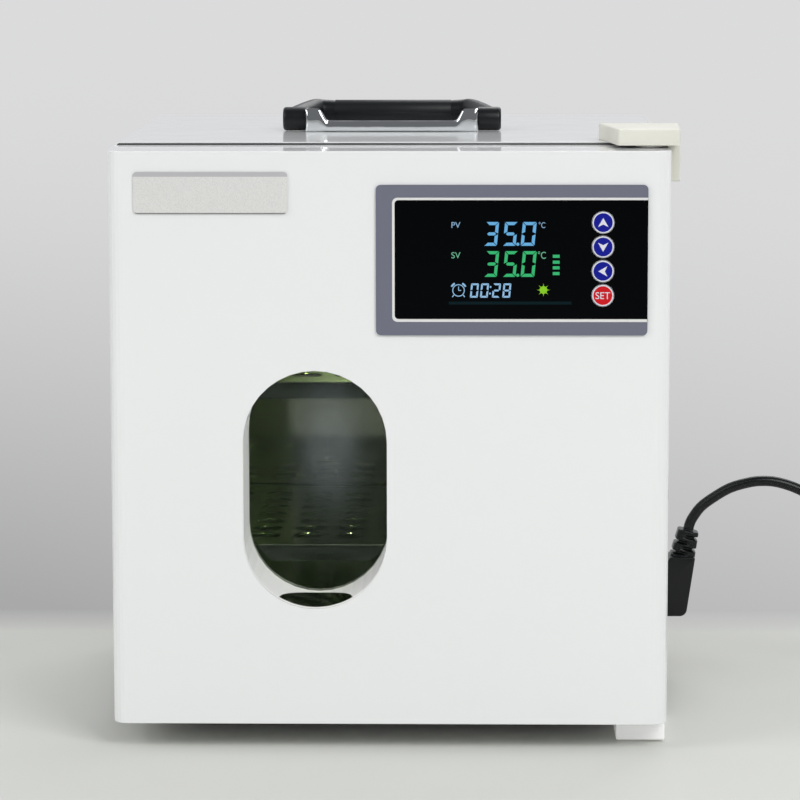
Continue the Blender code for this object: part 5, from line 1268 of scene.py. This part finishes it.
plug_y = coil_y + PLUG_OFFSET
plug_rear = coil_x - PLUG_OFFSET / 5
plug_floor = 2 * (CORD_DIAMETER + BENCH_GAP)
plug_z = plug_floor + PLUG_HEIGHT / 2
tail_end = np.array((plug_rear + PLUG_TAIL, plug_y, plug_z))
first = (angle[-1] + np.pi / 2) % (2 * np.pi)
heading = np.linspace(first, np.pi, 12)[1:]
over_x = (np.sin(first) - np.sin(heading)) / np.sin(first)
over_y = (np.cos(first) - np.cos(heading)) / (np.cos(first) + 1)
over_z = wave((heading - first) / (np.pi - first))
tail = winding[-1] + (tail_end - winding[-1]) * np.stack((over_x, over_y, over_z), -1)

lead = np.vstack((arch, winding, tail, tail_end - (TAIL_LAP, 0, 0)))
shell = swept(smoothed(lead, 3), CORD_DIAMETER / 2)
cord = piece("mains_lead", shell, vinyl, "cabinet", ["cord", "cord_coil"], angle=60)

# The connector is moulded in one with its strain relief, and its nose fills the inlet's socket. The
# relief's section is (|x / half width| ^ 5 + |y / half depth| ^ 5) ^ (-1/5), drawn in at each notch.

CONNECTOR_HALF = 0.010
CONNECTOR_RISE = 0.014
CONNECTOR_DROP = 0.0119
CONNECTOR_REACH = 0.0195
CONNECTOR_GAP = 0.0003
CONNECTOR_EDGE = 0.0010
SHOULDER_REACH = 0.005
SHOULDER_RISE = 0.001
NOSE_HALF = (0.0079, 0.0117)
NOSE_CORNER = 0.0016
NECK_RADII = (0.0074, 0.0062)
NECK_DEPTH = 1.05
NECK_START = -0.12
NECK_ROUND = 0.97
NECK_NOTCHES = ((0.16, -1), (0.36, 1), (0.56, -1), (0.78, 1))
NOTCH_HEIGHT = 0.055
NOTCH_DEPTH = 0.3

wide, narrow = NECK_RADII
face, shoulder = OUTLET_FACE + CONNECTOR_GAP, neck_foot[2] + SHOULDER_RISE
crown = INLET_Z + CONNECTOR_RISE
outline = filleted(
    [
        (face, INLET_Z - CONNECTOR_DROP, 0),
        (OUTLET_FACE + CONNECTOR_REACH, INLET_Z - CONNECTOR_DROP, 0.0042),
        (neck_foot[0] + wide, shoulder, 0.0012),
        (neck_foot[0] - wide, shoulder, 0.0012),
        (OUTLET_FACE + SHOULDER_REACH, crown + SHOULDER_RISE, 0.002),
        (face, crown, 0),
    ]
)
body = slab(outline, INLET_Y - CONNECTOR_HALF, INLET_Y + CONNECTOR_HALF, CONNECTOR_EDGE, "y", 6)
half_y, half_z = NOSE_HALF
nose = oblong(INLET_Y - half_y, INLET_Y + half_y, INLET_Z - half_z, INLET_Z + half_z, NOSE_CORNER)
nose = slab(nose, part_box("cord_connector")[0].x, OUTLET_FACE + 0.001, 0.0004, "x")
level = np.linspace(NECK_START, 1, 90)[:, None]
cos, sin = directions(64)
taper = narrow + (wide - narrow) * np.clip(1 - level, 0, 1)
reach = (np.abs(cos / taper) ** 5 + np.abs(sin / (taper * NECK_DEPTH)) ** 5) ** -0.2
notch = sum(
    np.exp(-(((level - at) / NOTCH_HEIGHT) ** 4)) * np.clip(side * cos * 2 + 0.7, 0, 1)
    for at, side in NECK_NOTCHES
)
close = np.where(level > NECK_ROUND, 1 - 0.8 * (level - NECK_ROUND) / 0.3, 1)
around = reach * (1 - NOTCH_DEPTH * notch) * close
line = neck_foot + level * (neck_head - neck_foot)
section = cos[:, None] * (axis[2], 0, -axis[0]) + sin[:, None] * (0, 1, 0)
neck = capped(line[:, None] + around[..., None] * section, line[0], line[-1])
shell = merged(body, nose, neck)
connector = piece("lead_connector", shell, vinyl, "cabinet", ["cord_connector"])

# The plug has a waist to pull it by, a tapered tail with three ribs and three bright blades.

PLUG_LENGTH = 0.034
PLUG_HALF = 0.013
PLUG_WAIST = 0.55
PLUG_EDGE = 0.0024
TAIL_RADIUS = 0.0046
TAIL_FLARE = 0.0062
RIB_START, RIB_PITCH = 0.003, 0.0055
RIB_GROWTH = 0.0005
RIB_GROOVE = 0.0008

plug_nose = plug_rear - PLUG_LENGTH
waist = plug_nose + PLUG_LENGTH * PLUG_WAIST
outline = filleted(
    [
        (plug_nose, plug_y - PLUG_HALF, 0.003),
        (waist, plug_y - PLUG_HALF, 0.006),
        (plug_rear, plug_y - PLUG_HALF / 2, 0.003),
        (plug_rear, plug_y + PLUG_HALF / 2, 0.003),
        (waist, plug_y + PLUG_HALF, 0.006),
        (plug_nose, plug_y + PLUG_HALF, 0.003),
    ]
)
body = slab(outline, plug_floor, plug_floor + PLUG_HEIGHT, PLUG_EDGE, "z", 6)
profile = [(0, PLUG_TAIL), (TAIL_RADIUS - 0.0004, PLUG_TAIL), (TAIL_RADIUS, PLUG_TAIL - 0.001)]
for k in range(3):
    at = PLUG_TAIL - RIB_START - k * RIB_PITCH
    radius = TAIL_RADIUS + k * RIB_GROWTH
    groove = radius - RIB_GROOVE
    profile += [(radius, at), (groove, at - 0.0005), (groove, at - 0.0025), (radius + 0.0003, at - 0.003)]
profile += [(TAIL_FLARE, 0.001), (TAIL_FLARE, -0.001), (0, -0.001)]
shell = merged(body, turned(profile, (plug_rear, plug_y, plug_z), (1, 0, 0), 32))
plug = piece("lead_plug", shell, vinyl, "cabinet", ["mains_plug"])

PIN_LENGTH = 0.018
PIN_HALF = (0.0032, 0.00075)
PIN_EDGE = 0.0004
PINS = ((-0.0065, -0.003, 30), (0.0065, -0.003, -30), (0, 0.0045, 90))

half_u, half_v = PIN_HALF
pins = []
for offset, lift, tilt in PINS:
    turn = math.radians(tilt + 90)
    rotate = np.array(((math.cos(turn), math.sin(turn)), (-math.sin(turn), math.cos(turn))))
    outline = oblong(-half_u, half_u, -half_v, half_v, PIN_EDGE, 3) @ rotate
    outline += (plug_y + offset, plug_z + lift)
    pins.append(slab(outline, plug_nose - PIN_LENGTH, plug_nose + 0.0005, PIN_EDGE, "x"))
blades = piece("plug_blades", merged(*pins), plated, "cabinet")

# A soft strap goes round all the turns at one place and keeps the coil together.

TIE_ANGLE = 100
TIE_HALF = 0.0045
TIE_OUTER, TIE_INNER = 0.0011, 0.0002
TIE_ROUND, TIE_ROUND_INSIDE = 0.0028, 0.0020

strap = Finish("lead_strap", (40, 42, 46), 0.85)
weave = strap.node("ShaderNodeTexChecker", {}, {"Vector": strap.place(), "Scale": 2500.0}, 1)
strap.bump(weave, 0.00012, 0.7)
strap.tint(weave * 0.4, (58, 60, 64))
span = 1.5 * CORD_DIAMETER
bundle = 2 * CORD_DIAMETER + 0.0004
around = oblong(-span - TIE_OUTER, span + TIE_OUTER, 0.0, bundle + TIE_OUTER, TIE_ROUND)
inside = oblong(-span - TIE_INNER, span + TIE_INNER, TIE_INNER, bundle + TIE_INNER, TIE_ROUND_INSIDE)
turn = math.radians(TIE_ANGLE)
out = np.array((math.cos(turn), math.sin(turn), 0))
tangent = np.array((-math.sin(turn), math.cos(turn), 0))
middle = np.array((coil_x, coil_y, 0)) + out * COIL_RADIUS
rows = []
for loop, shift in ((around, -TIE_HALF), (around, TIE_HALF), (inside, TIE_HALF), (inside, -TIE_HALF)):
    rows.append(middle + loop[:, :1] * out + loop[:, 1:] * (0, 0, 1) + shift * tangent)
shell = grid(np.stack(rows), close_rows=True, close_columns=True)
tie = piece("lead_tie", shell, strap, "cabinet")
